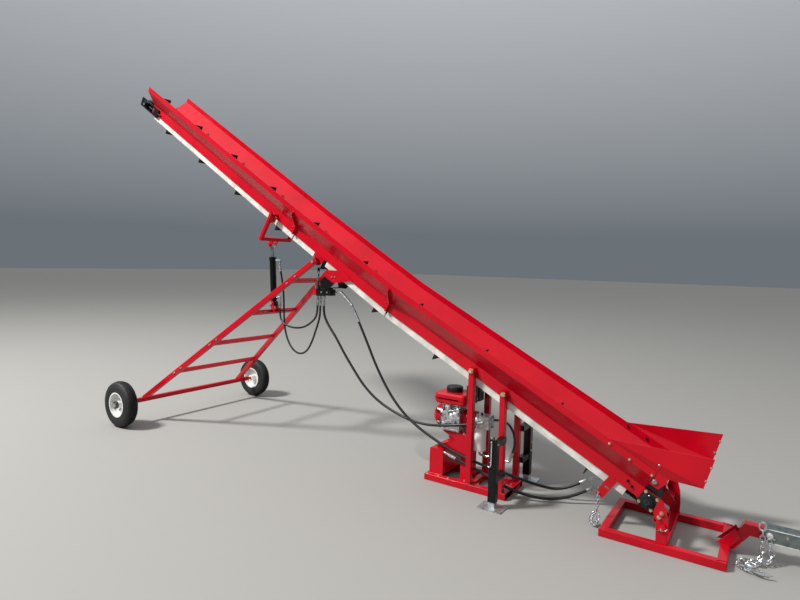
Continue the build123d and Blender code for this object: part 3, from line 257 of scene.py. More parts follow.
def plainPlastic(name, kind):
    finish, tree, body, spot = newFinish(name, IOR=1.5)
    smudge = addNode(tree, "ShaderNodeTexNoise", {"Scale": perMetre(70), "Detail": 6.0}, {"Vector": spot})
    share = addNode(
        tree, "ShaderNodeMapRange", {"From Min": 0.35, "From Max": 0.65}, {"Value": smudge.outputs["Fac"]}
    )
    colour = blendColours(tree, srgb(kind["dark"]), srgb(kind["light"]), share.outputs["Result"])
    tree.links.new(colour, body.inputs["Base Color"])
    rough = addNode(
        tree, "ShaderNodeMapRange", {"To Min": kind["rough"] - 0.08, "To Max": kind["rough"] + 0.1},
        {"Value": smudge.outputs["Fac"]},
    )
    tree.links.new(rough.outputs["Result"], body.inputs["Roughness"])
    grain = addNode(tree, "ShaderNodeTexNoise", {"Scale": perMetre(2.5), "Detail": 2.0}, {"Vector": spot})
    bump = addNode(
        tree, "ShaderNodeBump", {"Strength": kind["bump"], "Distance": 0.0004}, {"Height": grain.outputs["Fac"]}
    )
    tree.links.new(bump.outputs["Normal"], body.inputs["Normal"])
    return finish


guideStrip = plainPlastic("guideStrip", plastic["guideStrip"])
mouldedBlack = plainPlastic("mouldedBlack", plastic["mouldedBlack"])

# Each material slot of the record has its finish
slotFinish = {
    "red_enamel": redEnamel,
    "black_enamel": blackEnamel,
    "belt_rubber": beltRubber,
    "tyre_rubber": tyreRubber,
    "white_enamel": whiteEnamel,
    "white_plastic": guideStrip,
    "bare_steel": turnedSteel,
    "zinc": zincPlate,
    "hose_rubber": hoseRubber,
    "galvanised": dippedZinc,
    "cast_grey": bearingIron,
    "aluminium": castAluminium,
    "black_plastic": mouldedBlack,
    "filter_white": filterEnamelPaintedLit,
}
# Nodes whose look differs from their slot's: bright rod, dull zinc feet, take-ups that are black in the photo
nodeFinish = {
    "lift_rod": chromedRod, "near_jack_leg": footZinc, "far_jack_leg": footZinc, "head_takeups": blackEnamel,
}
for part in frame["record"]["subparts"]:
    node = frame["nodes"][part["node"]]
    node.data.materials.clear()
    node.data.materials.append(nodeFinish.get(part["node"], slotFinish[part["material_slot"]]))
print("finishes made")


def settle(name, data, finish, body):
    # Puts finished shape data into the scene, with its finish and on its body
    data.materials.append(finish)
    piece = bpy.data.objects.new(name, data)
    bpy.context.scene.collection.objects.link(piece)
    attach(piece, body)
    return piece


def addPiece(name, mesh, finish, body, flat=35):
    # A finished mesh becomes a piece on its body; edges that turn less than flat degrees shade smooth
    bmesh.ops.recalc_face_normals(mesh, faces=mesh.faces)
    for face in mesh.faces:
        face.smooth = True
    for edge in mesh.edges:
        edge.smooth = edge.calc_face_angle(0.0) < math.radians(flat)
    data = bpy.data.meshes.new(name)
    mesh.to_mesh(data)
    mesh.free()
    return settle(name, data, finish, body)


def metres(x, y, z):
    return Vector((x, y, z)) / 1000


def aimed(place, way):
    # Puts a shape's own Z along the way, at a place in millimetres
    return Matrix.Translation(metres(*place)) @ Vector(way).normalized().to_track_quat("Z", "Y").to_matrix().to_4x4()


def addTurned(mesh, profile, place, way, steps=24):
    # A turned shape: (radius, height) in millimetres, spun about the way
    before = set(mesh.verts)
    spots = [mesh.verts.new((radius / 1000, 0, height / 1000)) for radius, height in profile]
    sides = [mesh.edges.new(pair) for pair in zip(spots, spots[1:])]
    bmesh.ops.spin(
        mesh, geom=spots + sides, cent=(0, 0, 0), axis=(0, 0, 1), angle=2 * math.pi, steps=steps, use_merge=True
    )
    made = [v for v in mesh.verts if v not in before]
    bmesh.ops.remove_doubles(mesh, verts=made, dist=1e-6)
    bmesh.ops.transform(mesh, matrix=aimed(place, way), verts=[v for v in made if v.is_valid])


def edgesOf(verts):
    # The edges that meet at these corners, each once
    return list(dict.fromkeys(edge for v in verts for edge in v.link_edges))


def rollEdges(mesh, edges, width, segments=2):
    # Rounds edges over a width in millimetres
    bmesh.ops.bevel(
        mesh, geom=edges, offset=width / 1000, offset_type="OFFSET", affect="EDGES", segments=segments, profile=0.5,
        material=-1, clamp_overlap=False,
    )


def addBlock(mesh, low, high, soften=1.0):
    # A box between two corners in millimetres with softened edges
    middle = metres(*[(a + b) / 2 for a, b in zip(low, high)])
    size = metres(*[b - a for a, b in zip(low, high)])
    made = bmesh.ops.create_cube(mesh, size=1.0, matrix=Matrix.Translation(middle) @ Matrix.Diagonal((*size, 1)))
    rollEdges(mesh, edgesOf(made["verts"]), soften)


# Hex bolt: its washer's height in millimetres, then shares of the hexagon's radius and of the spanner's size
bolt = {"washer": 1.6, "washerWide": 1.12, "chamfer": 0.86, "head": 0.5, "crown": 0.62, "thread": (0.3, 0.26)}


def addBolt(mesh, place, way, across=13.0, sunk=1.0, end=0.0):
    # Hex head on a washer, sized by its spanner; end is the thread that stands out of a nut
    seat = aimed(place, way)
    radius = across / 2 / math.cos(math.radians(30))
    rim, washer = radius * bolt["washerWide"], bolt["washer"]
    head, crown = washer + across * bolt["head"], washer + across * bolt["crown"]
    parts = [
        (18, rim, rim, -sunk, washer), (6, radius, radius, washer, head),
        (6, radius, radius * bolt["chamfer"], head, crown),
    ]
    if end:
        root, tip = bolt["thread"]
        parts.append((10, across * root, across * tip, crown, crown + end))
    for count, wide, tight, low, high in parts:
        bmesh.ops.create_cone(
            mesh, cap_ends=True, segments=count, radius1=wide / 1000, radius2=tight / 1000,
            depth=(high - low) / 1000, matrix=seat @ Matrix.Translation((0, 0, (low + high) / 2000)),
        )


def smoothCurve(name, routes, radius, steps, ring):
    # Smooth lines along routes of points, all in metres, with a round section
    data = bpy.data.curves.new(name, "CURVE")
    data.dimensions = "3D"
    data.bevel_depth = radius
    data.bevel_resolution = ring
    data.resolution_u = steps
    data.use_fill_caps = True
    for route in routes:
        line = data.splines.new("NURBS")
        line.points.add(len(route) - 1)
        for point, spot in zip(line.points, route):
            point.co = (*spot, 1.0)
        line.order_u = 3
        line.use_endpoint_u = True
    return data


def addLine(name, routes, radius, finish, body):
    # Round wire, pipe or weld along smooth lines, in millimetres
    lines = [[metres(*spot) for spot in route] for route in routes]
    return settle(name, smoothCurve(name, lines, radius / 1000, 6, 3), finish, body)


rolled = {"shortest": 40.0, "square": (1.2, 1.9), "weld": 2e-5, "flatWithin": 0.6}


def addSoftened(node, width, body, finish):
    # The CAD shape with its long square corners (about 70 to 110 degrees) rolled round, as on drawn tube
    mesh = bmesh.new()
    mesh.from_mesh(frame["nodes"][node].data)
    bmesh.ops.remove_doubles(mesh, verts=mesh.verts, dist=rolled["weld"])
    limit = math.radians(rolled["flatWithin"])
    bmesh.ops.dissolve_limit(mesh, angle_limit=limit, verts=mesh.verts, edges=mesh.edges)
    least, most = rolled["square"]
    corners = [
        edge for edge in mesh.edges
        if edge.is_manifold and edge.is_convex and edge.calc_length() > rolled["shortest"] / 1000
        and least < edge.calc_face_angle(0.0) < most
    ]
    rollEdges(mesh, corners, width, 3)
    piece = addPiece(node + "Rolled", mesh, finish, body, 40)
    piece.modifiers.new("evenShading", "WEIGHTED_NORMAL").keep_sharp = True
    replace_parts(piece, node)
    return piece


tubes = {
    "skid_frame": (4.0, "skid", "red_enamel", redEnamel), "drawbar": (5.0, "skid", "red_enamel", redEnamel),
    "power_stand": (4.0, "conveyor", "red_enamel", redEnamel), "hanger": (3.0, "conveyor", "red_enamel", redEnamel),
    "lift_frame": (3.5, "lift_frame", "red_enamel", redEnamel),
    "jack_tubes": (4.0, "conveyor", "black_enamel", blackEnamel),
    "hand_valve": (3.0, "conveyor", "black_enamel", blackEnamel),
    "coupler": (1.2, "skid", "galvanised", dippedZinc),
}
spindleEnd = 0.8266
for node, (width, body, slotName, finish) in tubes.items():
    piece = addSoftened(node, width, body, finish)
    if node == "lift_frame":
        # The spindle's ends are drawn back inside their nuts
        for v in piece.data.vertices:
            v.co.y = max(-spindleEnd, min(spindleEnd, v.co.y))
print("tubes rounded")

# Hydraulic hoses: route points in metres, straight out of each fitting and then in one free bend.
# Hoses from the valve to the cylinder list two bend points; they are made as meshes and left off the bodies.
hoses = {
    "motor_feed_hose": {
        "diameter": 0.019, "length": 2.119,
        "route": [
            (-0.05, -0.062, 1.047), (0.038, -0.066, 0.897), (0.123, -0.072, 0.741), (0.25, -0.08, 0.559),
            (0.382, -0.088, 0.428), (0.519, -0.096, 0.344), (0.67, -0.098, 0.278), (0.83, -0.096, 0.218),
            (0.98, -0.088, 0.184), (1.1, -0.068, 0.16), (1.19, -0.032, 0.134), (1.284, 0.01, 0.104),
            (1.386, 0.06, 0.072), (1.48, 0.084, 0.064), (1.567, 0.11, 0.092), (1.623, 0.134, 0.127),
        ],
    },
    "motor_return_hose": {
        "diameter": 0.019, "length": 0.911,
        "route": [
            (0.842, -0.099, 0.18), (0.945, -0.094, 0.148), (1.06, -0.082, 0.114), (1.16, -0.09, 0.086),
            (1.248, -0.092, 0.062), (1.33, -0.062, 0.04), (1.418, -0.018, 0.022), (1.505, 0.03, 0.024),
            (1.6, 0.078, 0.052), (1.67, 0.118, 0.092),
        ],
    },
    "pump_hose": {
        "diameter": 0.019, "length": 1.725,
        "route": [
            (-0.41, -0.062, 1.15), (-0.41, -0.062, 1.092), (-0.385, -0.061, 1.034), (-0.34, -0.061, 0.975),
            (-0.275, -0.062, 0.905), (-0.19, -0.064, 0.79), (-0.099, -0.066, 0.685), (0.002, -0.068, 0.573),
            (0.109, -0.068, 0.49), (0.216, -0.066, 0.435), (0.326, -0.066, 0.397), (0.441, -0.066, 0.368),
            (0.581, -0.086, 0.366), (0.716, -0.112, 0.389), (0.845, -0.113, 0.417), (0.942, -0.085, 0.433),
        ],
    },
    "pump_loop_hose": {
        "diameter": 0.016, "length": 0.31,
        "route": [
            (1.07, 0.002, 0.466), (1.13, 0.004, 0.476), (1.178, 0.006, 0.455), (1.208, 0.008, 0.412),
            (1.222, 0.008, 0.361), (1.221, 0.008, 0.31), (1.208, 0.008, 0.268),
        ],
    },
    "raise_hose": {
        "diameter": 0.016, "length": 0.703, "bend": ((-0.5, 0.0, 1.1), (-0.94, 0.0, 1.1)),
        "route": [
            (-0.97, 0.0, 1.09), (-0.97, 0.0, 1.04), (-0.945, -0.006, 0.985), (-0.895, -0.015, 0.955),
            (-0.815, -0.026, 0.94), (-0.72, -0.038, 0.94), (-0.63, -0.048, 0.958), (-0.552, -0.056, 1.0),
            (-0.496, -0.061, 1.046), (-0.478, -0.062, 1.1), (-0.478, -0.062, 1.15),
        ],
    },
    "lower_hose": {
        "diameter": 0.016, "length": 1.349, "bend": ((-0.48, 0.0, 1.1), (-0.93, 0.0, 1.1)),
        "route": [
            (-0.966, 0.0, 1.412), (-0.96, 0.014, 1.33), (-0.955, 0.024, 1.24), (-0.95, 0.027, 1.13),
            (-0.942, 0.022, 1.01), (-0.918, 0.014, 0.89), (-0.86, 0.004, 0.79), (-0.78, -0.008, 0.73),
            (-0.69, -0.02, 0.72), (-0.61, -0.032, 0.76), (-0.545, -0.044, 0.85), (-0.495, -0.054, 0.955),
            (-0.462, -0.06, 1.025), (-0.448, -0.062, 1.09), (-0.448, -0.062, 1.15),
        ],
    },
}
for name, hose in hoses.items():
    data = smoothCurve(name + "Line", [hose["route"]], hose["diameter"] / 2, 10, 4)
    data.materials.append(hoseRubber)
    piece = bpy.data.objects.new(name + "Line", data)
    path = None
    if "bend" in hose:
        # These hoses become meshes; the bare line's points are read into path, which only marks the tube to be baked
        # in place
        tube = bpy.data.meshes.new_from_object(piece)
        data.bevel_depth = 0.0
        centre = bpy.data.meshes.new_from_object(piece)
        path = [tuple(v.co) for v in centre.vertices]
        bpy.data.meshes.remove(centre)
        bpy.data.objects.remove(piece)
        bpy.data.curves.remove(data)
        tube.name = name + "Line"
        for face in tube.polygons:
            face.use_smooth = True
        piece = bpy.data.objects.new(name + "Line", tube)
    bpy.context.scene.collection.objects.link(piece)
    if path:
        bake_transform(piece)
    else:
        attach(piece, "conveyor")
    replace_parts(piece, name)
print("hoses laid")

# Tyre: ribbed tread with cross sipes, ring lines on the wall; (offset from the middle, radius) in millimetres
tyre = {
    "wall": [
        (41.5, 101), (47.0, 106), (51.0, 116), (52.6, 127), (53.6, 128.2), (53.6, 130.2), (52.9, 131.4), (53.4, 146),
        (53.9, 147), (53.9, 149.6), (53.2, 151), (52.6, 164), (51.0, 173), (48.6, 175), (47.0, 184), (42.0, 190),
    ],
    "tread": [
        (36.0, 193.0), (34.6, 194.2), (27.4, 197.0), (26.6, 192.0), (23.6, 192.6), (22.8, 198.4), (14.0, 200.9),
        (13.2, 195.6), (9.8, 196.0), (9.0, 202.0), (3.4, 202.8), (2.8, 197.6),
    ],
    "sipeTurn": 1.1, "runTurn": 5.1, "count": 58, "sipeDeep": 3.5, "sipeInner": 193.5, "centreRib": 3.0,
    "axle": (-2145.0, 203.0), "middle": 762.0,
}
upper = tyre["wall"] + tyre["tread"]
profile = upper + [(-y, r) for y, r in reversed(upper)]
for name, middle, body in (("near", -tyre["middle"], "near_wheel"), ("far", tyre["middle"], "far_wheel")):
    mesh = bmesh.new()
    axleX, axleZ = tyre["axle"]
    centre = metres(axleX, middle, axleZ)
    spots = [mesh.verts.new(metres(axleX, middle + y, axleZ + r)) for y, r in profile]
    ends = spots + [mesh.edges.new(pair) for pair in zip(spots, spots[1:] + spots[:1])]
    sipes = []
    span = 2 * math.pi / tyre["count"]
    sipe = span * tyre["sipeTurn"] / (tyre["sipeTurn"] + tyre["runTurn"])
    for k in range(tyre["count"]):
        for angle, steps in ((sipe, 1), (span - sipe, 2)):
            before = set(mesh.faces)
            made = bmesh.ops.spin(mesh, geom=ends, cent=centre, axis=(0, 1, 0), angle=angle, steps=steps)
            ends = made["geom_last"]
            if steps == 1:
                sipes += [face for face in mesh.faces if face not in before]
    bmesh.ops.remove_doubles(mesh, verts=mesh.verts, dist=1e-5)
    bmesh.ops.recalc_face_normals(mesh, faces=mesh.faces)
    ribs = []
    for face in sipes:
        if face.is_valid:
            away = face.calc_center_median() - centre
            offset, radius = abs(away.y) * 1000, math.hypot(away.x, away.z) * 1000
            outward = face.normal.dot(away.normalized()) > 0.9
            if outward and radius > tyre["sipeInner"] and offset > tyre["centreRib"]:
                ribs.append(face)
    cut = bmesh.ops.extrude_discrete_faces(mesh, faces=ribs)
    for face in cut["faces"]:
        away = face.calc_center_median() - centre
        away.y = 0
        bmesh.ops.translate(mesh, verts=face.verts, vec=-away.normalized() * tyre["sipeDeep"] / 1000)
    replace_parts(addPiece(name + "Tread", mesh, tyreRubber, body, 30), name + "_tyre")
print("tyres done")

# Wheel fittings: axle nut on the spindle, wheel nuts on the studs, greasy hub seal and valve stem
wheel = {"hubFace": 817.0, "discFace": 766.5, "studRing": 50.0, "nut": 17.0, "valveRing": 84.0}
for name, hand in (("near", -1), ("far", 1)):
    axleX, axleZ = tyre["axle"]
    out = (0, hand, 0)
    nuts, seals = bmesh.new(), bmesh.new()
    for k in range(4):
        turn = math.pi / 2 * k
        x = axleX + wheel["studRing"] * math.cos(turn)
        z = axleZ + wheel["studRing"] * math.sin(turn)
        addBolt(nuts, (x, hand * wheel["discFace"], z), out, wheel["nut"], 0.5, 4.0)
    addPiece(name + "WheelNuts", nuts, zincPlate, name + "_wheel")
    addTurned(
        seals, [(21, 0), (22, 3.4), (28, 3.4), (31.5, 1.0), (32.6, -2.0), (32.6, -16.0)],
        (axleX, hand * wheel["hubFace"], axleZ), out, 32,
    )
    addTurned(
        seals, [(4.6, -2), (4.6, 9), (3.4, 11), (3.4, 25), (4.0, 25.4), (4.0, 31), (0, 31.6)],
        (axleX + wheel["valveRing"] * 0.5, hand * wheel["discFace"], axleZ + wheel["valveRing"] * 0.87), out, 12,
    )
    addPiece(name + "HubSeal", seals, mouldedBlack, name + "_wheel")
    axleNut = bmesh.new()
    addTurned(
        axleNut, [(21, 0), (21, 3.2), (19.5, 4.2), (17, 4.2), (17, 9.4), (15.6, 10.5), (6, 10.9), (0, 10.9)],
        (axleX, hand * wheel["hubFace"], axleZ), out, 12,
    )
    addPiece(name + "AxleNut", axleNut, turnedSteel, "lift_frame", 30)
print("wheels fitted")


def linkShape(mesh, halfLong, halfWide, wire, where):
    # Stadium link: a ring of wire whose halves are drawn apart along X; it starts at 15 degrees so that no
    # section lies where the halves part
    before = set(mesh.verts)
    ring = bmesh.ops.create_circle(
        mesh, cap_ends=False, segments=8, radius=wire / 2000,
        matrix=Matrix.Rotation(math.radians(15), 4, "Z") @ Matrix.Translation(((halfWide - wire / 2) / 1000, 0, 0))
        @ Matrix.Rotation(math.radians(90), 4, "X"),
    )
    section = ring["verts"] + edgesOf(ring["verts"])
    bmesh.ops.spin(
        mesh, geom=section, cent=(0, 0, 0), axis=(0, 0, 1), angle=2 * math.pi, steps=12, use_merge=True
    )
    made = [v for v in mesh.verts if v not in before]
    for v in made:
        v.co.x += math.copysign((halfLong - halfWide) / 1000, v.co.x)
    bmesh.ops.transform(mesh, matrix=where, verts=made)


def addChain(mesh, route, halfLong, halfWide, wire, roll=0.0, tilt=90.0):
    # Links at their pitch along a smooth line through the route, each turned by tilt against the one before
    data = smoothCurve("chainGuide", [[metres(*spot) for spot in route]], 0.0, 24, 3)
    guide = bpy.data.objects.new("chainGuide", data)
    drawn = bpy.data.meshes.new_from_object(guide)
    spots = [v.co.copy() for v in drawn.vertices]
    bpy.data.objects.remove(guide)
    bpy.data.meshes.remove(drawn)
    pitch = 2 * (halfLong - wire) / 1000
    start, turn = spots[0], roll
    for spot in spots[1:]:
        if (spot - start).length < pitch:
            continue
        way = (spot - start).normalized()
        flat = Vector((0, 0, 1)) if abs(way.z) < 0.9 else Vector((0, 1, 0))
        side = flat.cross(way).normalized()
        rise = way.cross(side)
        frameWay = Matrix((way, side, rise)).transposed().to_4x4()
        middle = start + way * pitch / 2
        where = Matrix.Translation(middle) @ frameWay @ Matrix.Rotation(math.radians(turn), 4, "X")
        linkShape(mesh, halfLong, halfWide, wire, where)
        start = start + way * pitch
        turn += tilt if int(round((turn - roll) / tilt)) % 2 == 0 else -tilt


# Safety chain of the hitch: a ring through the coupler's hole, two strands and a heap with a flat grab hook
tow = {
    "ring": (26.0, 19.5, 9.5), "ringPlace": (2610, -45, 194), "ringTurn": 86.0, "link": (21.0, 14.5, 7.5),
    "front": [
        (2612, -46, 172), (2613, -47, 138), (2615, -48, 100), (2619, -53, 62), (2612, -66, 26), (2586, -80, 15),
        (2552, -92, 15), (2522, -110, 15), (2506, -142, 15), (2514, -176, 16), (2542, -198, 16), (2578, -206, 17),
    ],
    "rear": [
        (2641, -44, 132), (2650, -46, 98), (2658, -48, 64), (2656, -58, 28), (2636, -80, 17), (2604, -104, 26),
        (2574, -124, 30), (2550, -146, 30), (2546, -172, 30), (2566, -190, 30), (2598, -196, 26),
    ],
    "heap": [(2560, -128, 16), (2540, -150, 16), (2556, -170, 36), (2588, -168, 36), (2606, -184, 22)],
}
towChain = bmesh.new()
addChain(towChain, tow["front"], *tow["link"], roll=90.0)
addChain(towChain, tow["rear"], *tow["link"], roll=0.0)
addChain(towChain, tow["heap"], *tow["link"], roll=30.0)
linkShape(
    towChain, *tow["ring"],
    Matrix.Translation(metres(*tow["ringPlace"])) @ Matrix.Rotation(math.radians(90), 4, "X")
    @ Matrix.Rotation(math.radians(tow["ringTurn"]), 4, "Z"),
)
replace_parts(addPiece("towLinks", towChain, chainZinc, "skid"), "tow_chain")

# Flat grab hook: a plate cut to its outline, then given its thickness
hook = {
    "outline": [
        (-34, -7), (-20, -16), (0, -20), (26, -17), (46, -6), (60, 6), (42, 4), (24, -4), (6, -7), (-2, 0), (4, 8),
        (22, 10), (26, 17), (6, 19), (-16, 15), (-34, 7),
    ],
    "thick": 7.0, "place": (2606, -214, 22), "turn": -10.0,
}
grab = bmesh.new()
spots = [grab.verts.new(metres(x, y, 0)) for x, y in hook["outline"]]
face = grab.faces.new(spots)
grown = bmesh.ops.extrude_face_region(grab, geom=[face])
raised = [v for v in grown["geom"] if isinstance(v, bmesh.types.BMVert)]
bmesh.ops.translate(grab, verts=raised, vec=metres(0, 0, hook["thick"]))
rollEdges(grab, list(grab.edges), 1.2)
bmesh.ops.transform(
    grab, verts=grab.verts,
    matrix=Matrix.Translation(metres(*hook["place"])) @ Matrix.Rotation(math.radians(hook["turn"]), 4, "Z"),
)
addPiece("grabHook", grab, chainZinc, "skid")

# Rolled edges of the coupler's channel and its round pivot head, in a near-white zinc that paints the highlight of
# light catching them
edges = bmesh.new()
for hand in (-1, 1):
    addBlock(edges, (2616, hand * 37.5 - 2.5, 180.5), (2769, hand * 37.5 + 2.5, 185), 1.6)
    addBlock(edges, (2616, hand * 37.5 - 2.5, 110.5), (2769, hand * 37.5 + 2.5, 115), 1.6)
    addTurned(edges, [(17, -1), (17, 4), (14, 9), (7, 12), (0, 12.6)], (2643, hand * 35, 150), (0, hand, 0), 24)
addPiece("couplerEdges", edges, paintedHighlightZinc, "skid", 30)

# Stow chain by the hopper: one strand on its hook plate and the rest of the chain bunched below
stow = {
    "link": (17.0, 11.5, 5.6),
    "strand": [(1798, -112, 196), (1800, -118, 160), (1799, -124, 124), (1796, -130, 92), (1794, -134, 66)],
    "bunch": [
        (1800, -134, 92), (1784, -138, 76), (1774, -146, 48), (1778, -156, 20), (1796, -160, 10), (1812, -152, 30),
        (1812, -140, 64), (1796, -134, 92),
    ],
    "loop": [
        (1794, -146, 82), (1776, -158, 60), (1770, -166, 30), (1786, -172, 12), (1806, -168, 18), (1806, -154, 52),
    ],
}
stowChain = bmesh.new()
addChain(stowChain, stow["strand"], *stow["link"], roll=90.0)
addChain(stowChain, stow["bunch"], *stow["link"], roll=45.0)
addChain(stowChain, stow["loop"], *stow["link"], roll=20.0)
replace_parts(addPiece("stowLinks", stowChain, chainZinc, "conveyor"), "stow_chain")
print("chains hung")

# Zinc bolts by body: the head's way, whether the far side has them too, and rows (x, y, z, across) in millimetres
legWay, hangWay = (0.15, -0.98, 0.11), (0.85, 0.0, -0.53)
bolts = {
    "lift_frame": [
        (legWay, False, [
            (-605, -194, 1379, 13), (-676, -211, 1320, 13), (-1351, -369, 814, 13), (-1420, -385, 762, 13),
            (-1726, -456, 533, 13), (-1799, -473, 482, 13),
        ]),
    ],
    "conveyor": [
        ((0, -1, 0), True, [
            (961, -150, 810, 24), (1193, -150, 689, 24), (2057, -124, 266, 15), (2118, -124, 233, 15),
            (2023, -124, 203, 15), (2087, -124, 166, 15), (2158, -237, 209, 17), (2146, -237, 184, 17),
            (1869, -215, 526, 11), (1980, -215, 459, 11), (2097, -215, 396, 11), (-281, -116, 1386, 11),
            (-251, -116, 1387, 11),
        ]),
        ((0, 0, 1), True, [
            (645, -142, 45, 11), (732, -142, 45, 11), (809, -142, 45, 11), (922, -116, 45, 11), (1025, -116, 45, 11),
            (752, -60, 355, 11), (890, -78, 355, 11), (1196, -302, 441, 11), (1222, -302, 441, 11),
        ]),
        (hangWay, True, [(-896, -124, 1865, 15), (-921, -127, 1825, 15)]),
        ((1, 0, 0), True, [(1233, -297, 410, 11)]),
        ((1, 0, 0), False, [(1233, 279, 277, 11), (1233, 279, 217, 11)]),
    ],
    "skid": [((0, -1, 0), True, [(2719, -35, 158, 10)])],
}
for body, groups in bolts.items():
    heads = bmesh.new()
    for (wayX, wayY, wayZ), paired, rows in groups:
        for x, y, z, across in rows:
            for hand in (1, -1) if paired else (1,):
                addBolt(heads, (x, hand * y, z), (wayX, hand * wayY, wayZ), across)
    addPiece(body + "Bolts", heads, yellowZinc if body == "conveyor" else zincPlate, body, 20)

darkHeads, ends = bmesh.new(), bmesh.new()
rivet = [(6, -1), (6, 0.8), (4.6, 3), (0, 4)]
for hand in (1, -1):
    for x, y, z in [(1980, -110, 270), (1958, -110, 298), (1880, 209, 529), (1993, 209, 469)]:
        addBolt(darkHeads, (x, hand * y, z), (0, -hand, 0), 13)
    addTurned(ends, [(15, -2), (15, 4), (12, 9), (6, 12), (0, 12.6)], (2112, hand * 212, 364), (0, hand, 0), 20)
    addTurned(
        ends, [(11, -2), (11, 3), (7, 4), (7, 9), (5, 10.5), (0, 10.5)], (2164, hand * 250, 125), (0, hand, 0), 16
    )
    for x, y, z, (wayX, wayY, wayZ) in [
        (2377, 261, 518, (0.1, -1, 0)), (2353, 257, 447, (0.1, -1, 0)), (2377, -264, 514, (-0.1, -1, 0)),
        (2356, -260, 440, (-0.1, -1, 0)), (2133, -236, 466, (-0.2, -0.9, -0.4)),
    ]:
        addTurned(ends, rivet, (x, hand * y, z), (wayX, hand * wayY, wayZ), 12)
addPiece("darkBolts", darkHeads, blackEnamel, "conveyor", 20)
addPiece("tieEnds", ends, zincPlate, "conveyor", 30)
addLine(
    "lynchPins",
    [[(2141, hand * 252, 117), (2152, hand * 258, 121), (2164, hand * 262, 131), (2176, hand * 258, 121),
      (2188, hand * 254, 129), (2193, hand * 251, 137)] for hand in (-1, 1)],
    1.6, zincPlate, "conveyor",
)

# Rivets through the flanged joints of the trough and along its side webs, square to the sheet
trough = {
    "tail": (2070.0, 218.0), "angles": (27.9, 30.9, 32.0), "starts": (0.0, 2055.0, 3160.0), "halfWeb": 110.0,
    "flangeRivet": [(5.5, -0.6), (5.5, 0.5), (4.2, 2.4), (0, 3.2)],
    "webRivet": [(5.0, -0.6), (5.0, 0.4), (3.6, 1.9), (0, 2.4)],
}


def onBeam(s, n):
    # Scene place, in millimetres, at s along the beam and n square to it
    (x, z), k = trough["tail"], sum(s > start for start in trough["starts"][1:])
    for i in range(k):
        run = trough["starts"][i + 1] - trough["starts"][i]
        x -= run * math.cos(math.radians(trough["angles"][i]))
        z += run * math.sin(math.radians(trough["angles"][i]))
    a = math.radians(trough["angles"][k])
    rest = s - trough["starts"][k]
    return x - rest * math.cos(a) + n * math.sin(a), z + rest * math.sin(a) + n * math.cos(a)


rivets = bmesh.new()
for hand in (-1, 1):
    for s in (2020, 2090, 3125, 3195):
        for n in (-14, 18):
            x, z = onBeam(s, n)
            place = (x, hand * (trough["halfWeb"] + 0.3), z)
            addTurned(rivets, trough["flangeRivet"], place, (0, hand, 0), 10)
    for s in (200, 620, 1040, 1460, 1880, 2380, 2980, 3600, 4020, 4440, 4860, 5280):
        x, z = onBeam(s, -20)
        place = (x, hand * (trough["halfWeb"] + 0.2), z)
        addTurned(rivets, trough["webRivet"], place, (0, hand, 0), 10)
addPiece("troughRivets", rivets, redEnamel, "conveyor", 60)

# Weld beads where tubes meet, laid as a low round run of the same paint
welds = {
    "conveyor": {
        "paired": [
            [(943, -130, 46), (943, -151, 46), (979, -151, 46), (983, -130, 46)],
            [(1170, -130, 46), (1170, -151, 46), (1206, -151, 46), (1210, -130, 46)],
        ],
        "single": [
            [(690, -82.5, 228), (690, -82.5, 240), (756, -82.5, 268), (818, -82.5, 304)],
            [(730, -82.5, 349), (800, -82.5, 349), (908, -82.5, 349)],
            [(648, -119, 46.5), (700, -119, 46.5), (754, -119, 46.5)],
            [(648, 148, 46.5), (700, 149, 46.5), (754, 149, 46.5)],
        ],
    },
    "skid": {
        "paired": [
            [(2406, -31, 46), (2440, -31, 47), (2471, -31, 46)],
            [(2471, -240, 46), (2426, -241, 46.5), (2424, -262, 46)],
            [(2136, -240, 46), (2165, -240, 46), (2194, -240, 46)],
        ],
        "single": [],
    },
}
for body, runs in welds.items():
    twins = [[(x, -y, z) for x, y, z in run] for run in runs["paired"]]
    addLine(body + "Welds", runs["paired"] + twins + runs["single"], 2.6, redEnamel, body)
print("bolts and welds set")

# Engine trim, all in millimetres: cast covers, carburettor, levers, shield, cap ribs, recoil louvres
engine = {"capCentre": (768.0, 0.0, 620.0), "ribRing": 54.2, "ribs": 22, "recoil": (713.0, 0.0, 443.0), "louvres": 14}
cast = bmesh.new()
addTurned(cast, [(34, -1), (34, 6), (30, 9), (22, 9), (20, 13), (0, 13)], (800, -95, 452), (0, -1, 0), 28)
addTurned(cast, [(15, -1), (15, 16), (12, 19), (0, 19)], (742, -95, 408), (0, -1, 0), 20)
addTurned(cast, [(11, -1), (11, 12), (8, 14), (0, 14)], (838, -95, 400), (0, -1, 0), 16)
addTurned(cast, [(13, -1), (13, 22), (10, 24), (0, 24)], (848, -86, 516), (0, -1, 0), 18)
addBlock(cast, (728, -101, 374), (850, -94, 386), 1.5)
addBlock(cast, (728, -104, 480), (772, -94, 497), 2.5)
addBlock(cast, (826, -108, 470), (852, -94, 498), 3.0)
addBlock(cast, (756, -112, 502), (790, -88, 541), 3.0)
for k in range(4):
    addBlock(cast, (730 + 7 * k, -99, 420), (733 + 7 * k, -94, 474), 0.8)
for k in range(5):
    addBlock(cast, (712 + 26 * k, 94, 372), (717 + 26 * k, 99, 488), 1.0)
addTurned(cast, [(36, -1), (36, 7), (30, 10), (0, 10)], (786, 95, 440), (0, 1, 0), 28)
addPiece("crankCovers", cast, castAluminium, "conveyor", 30)

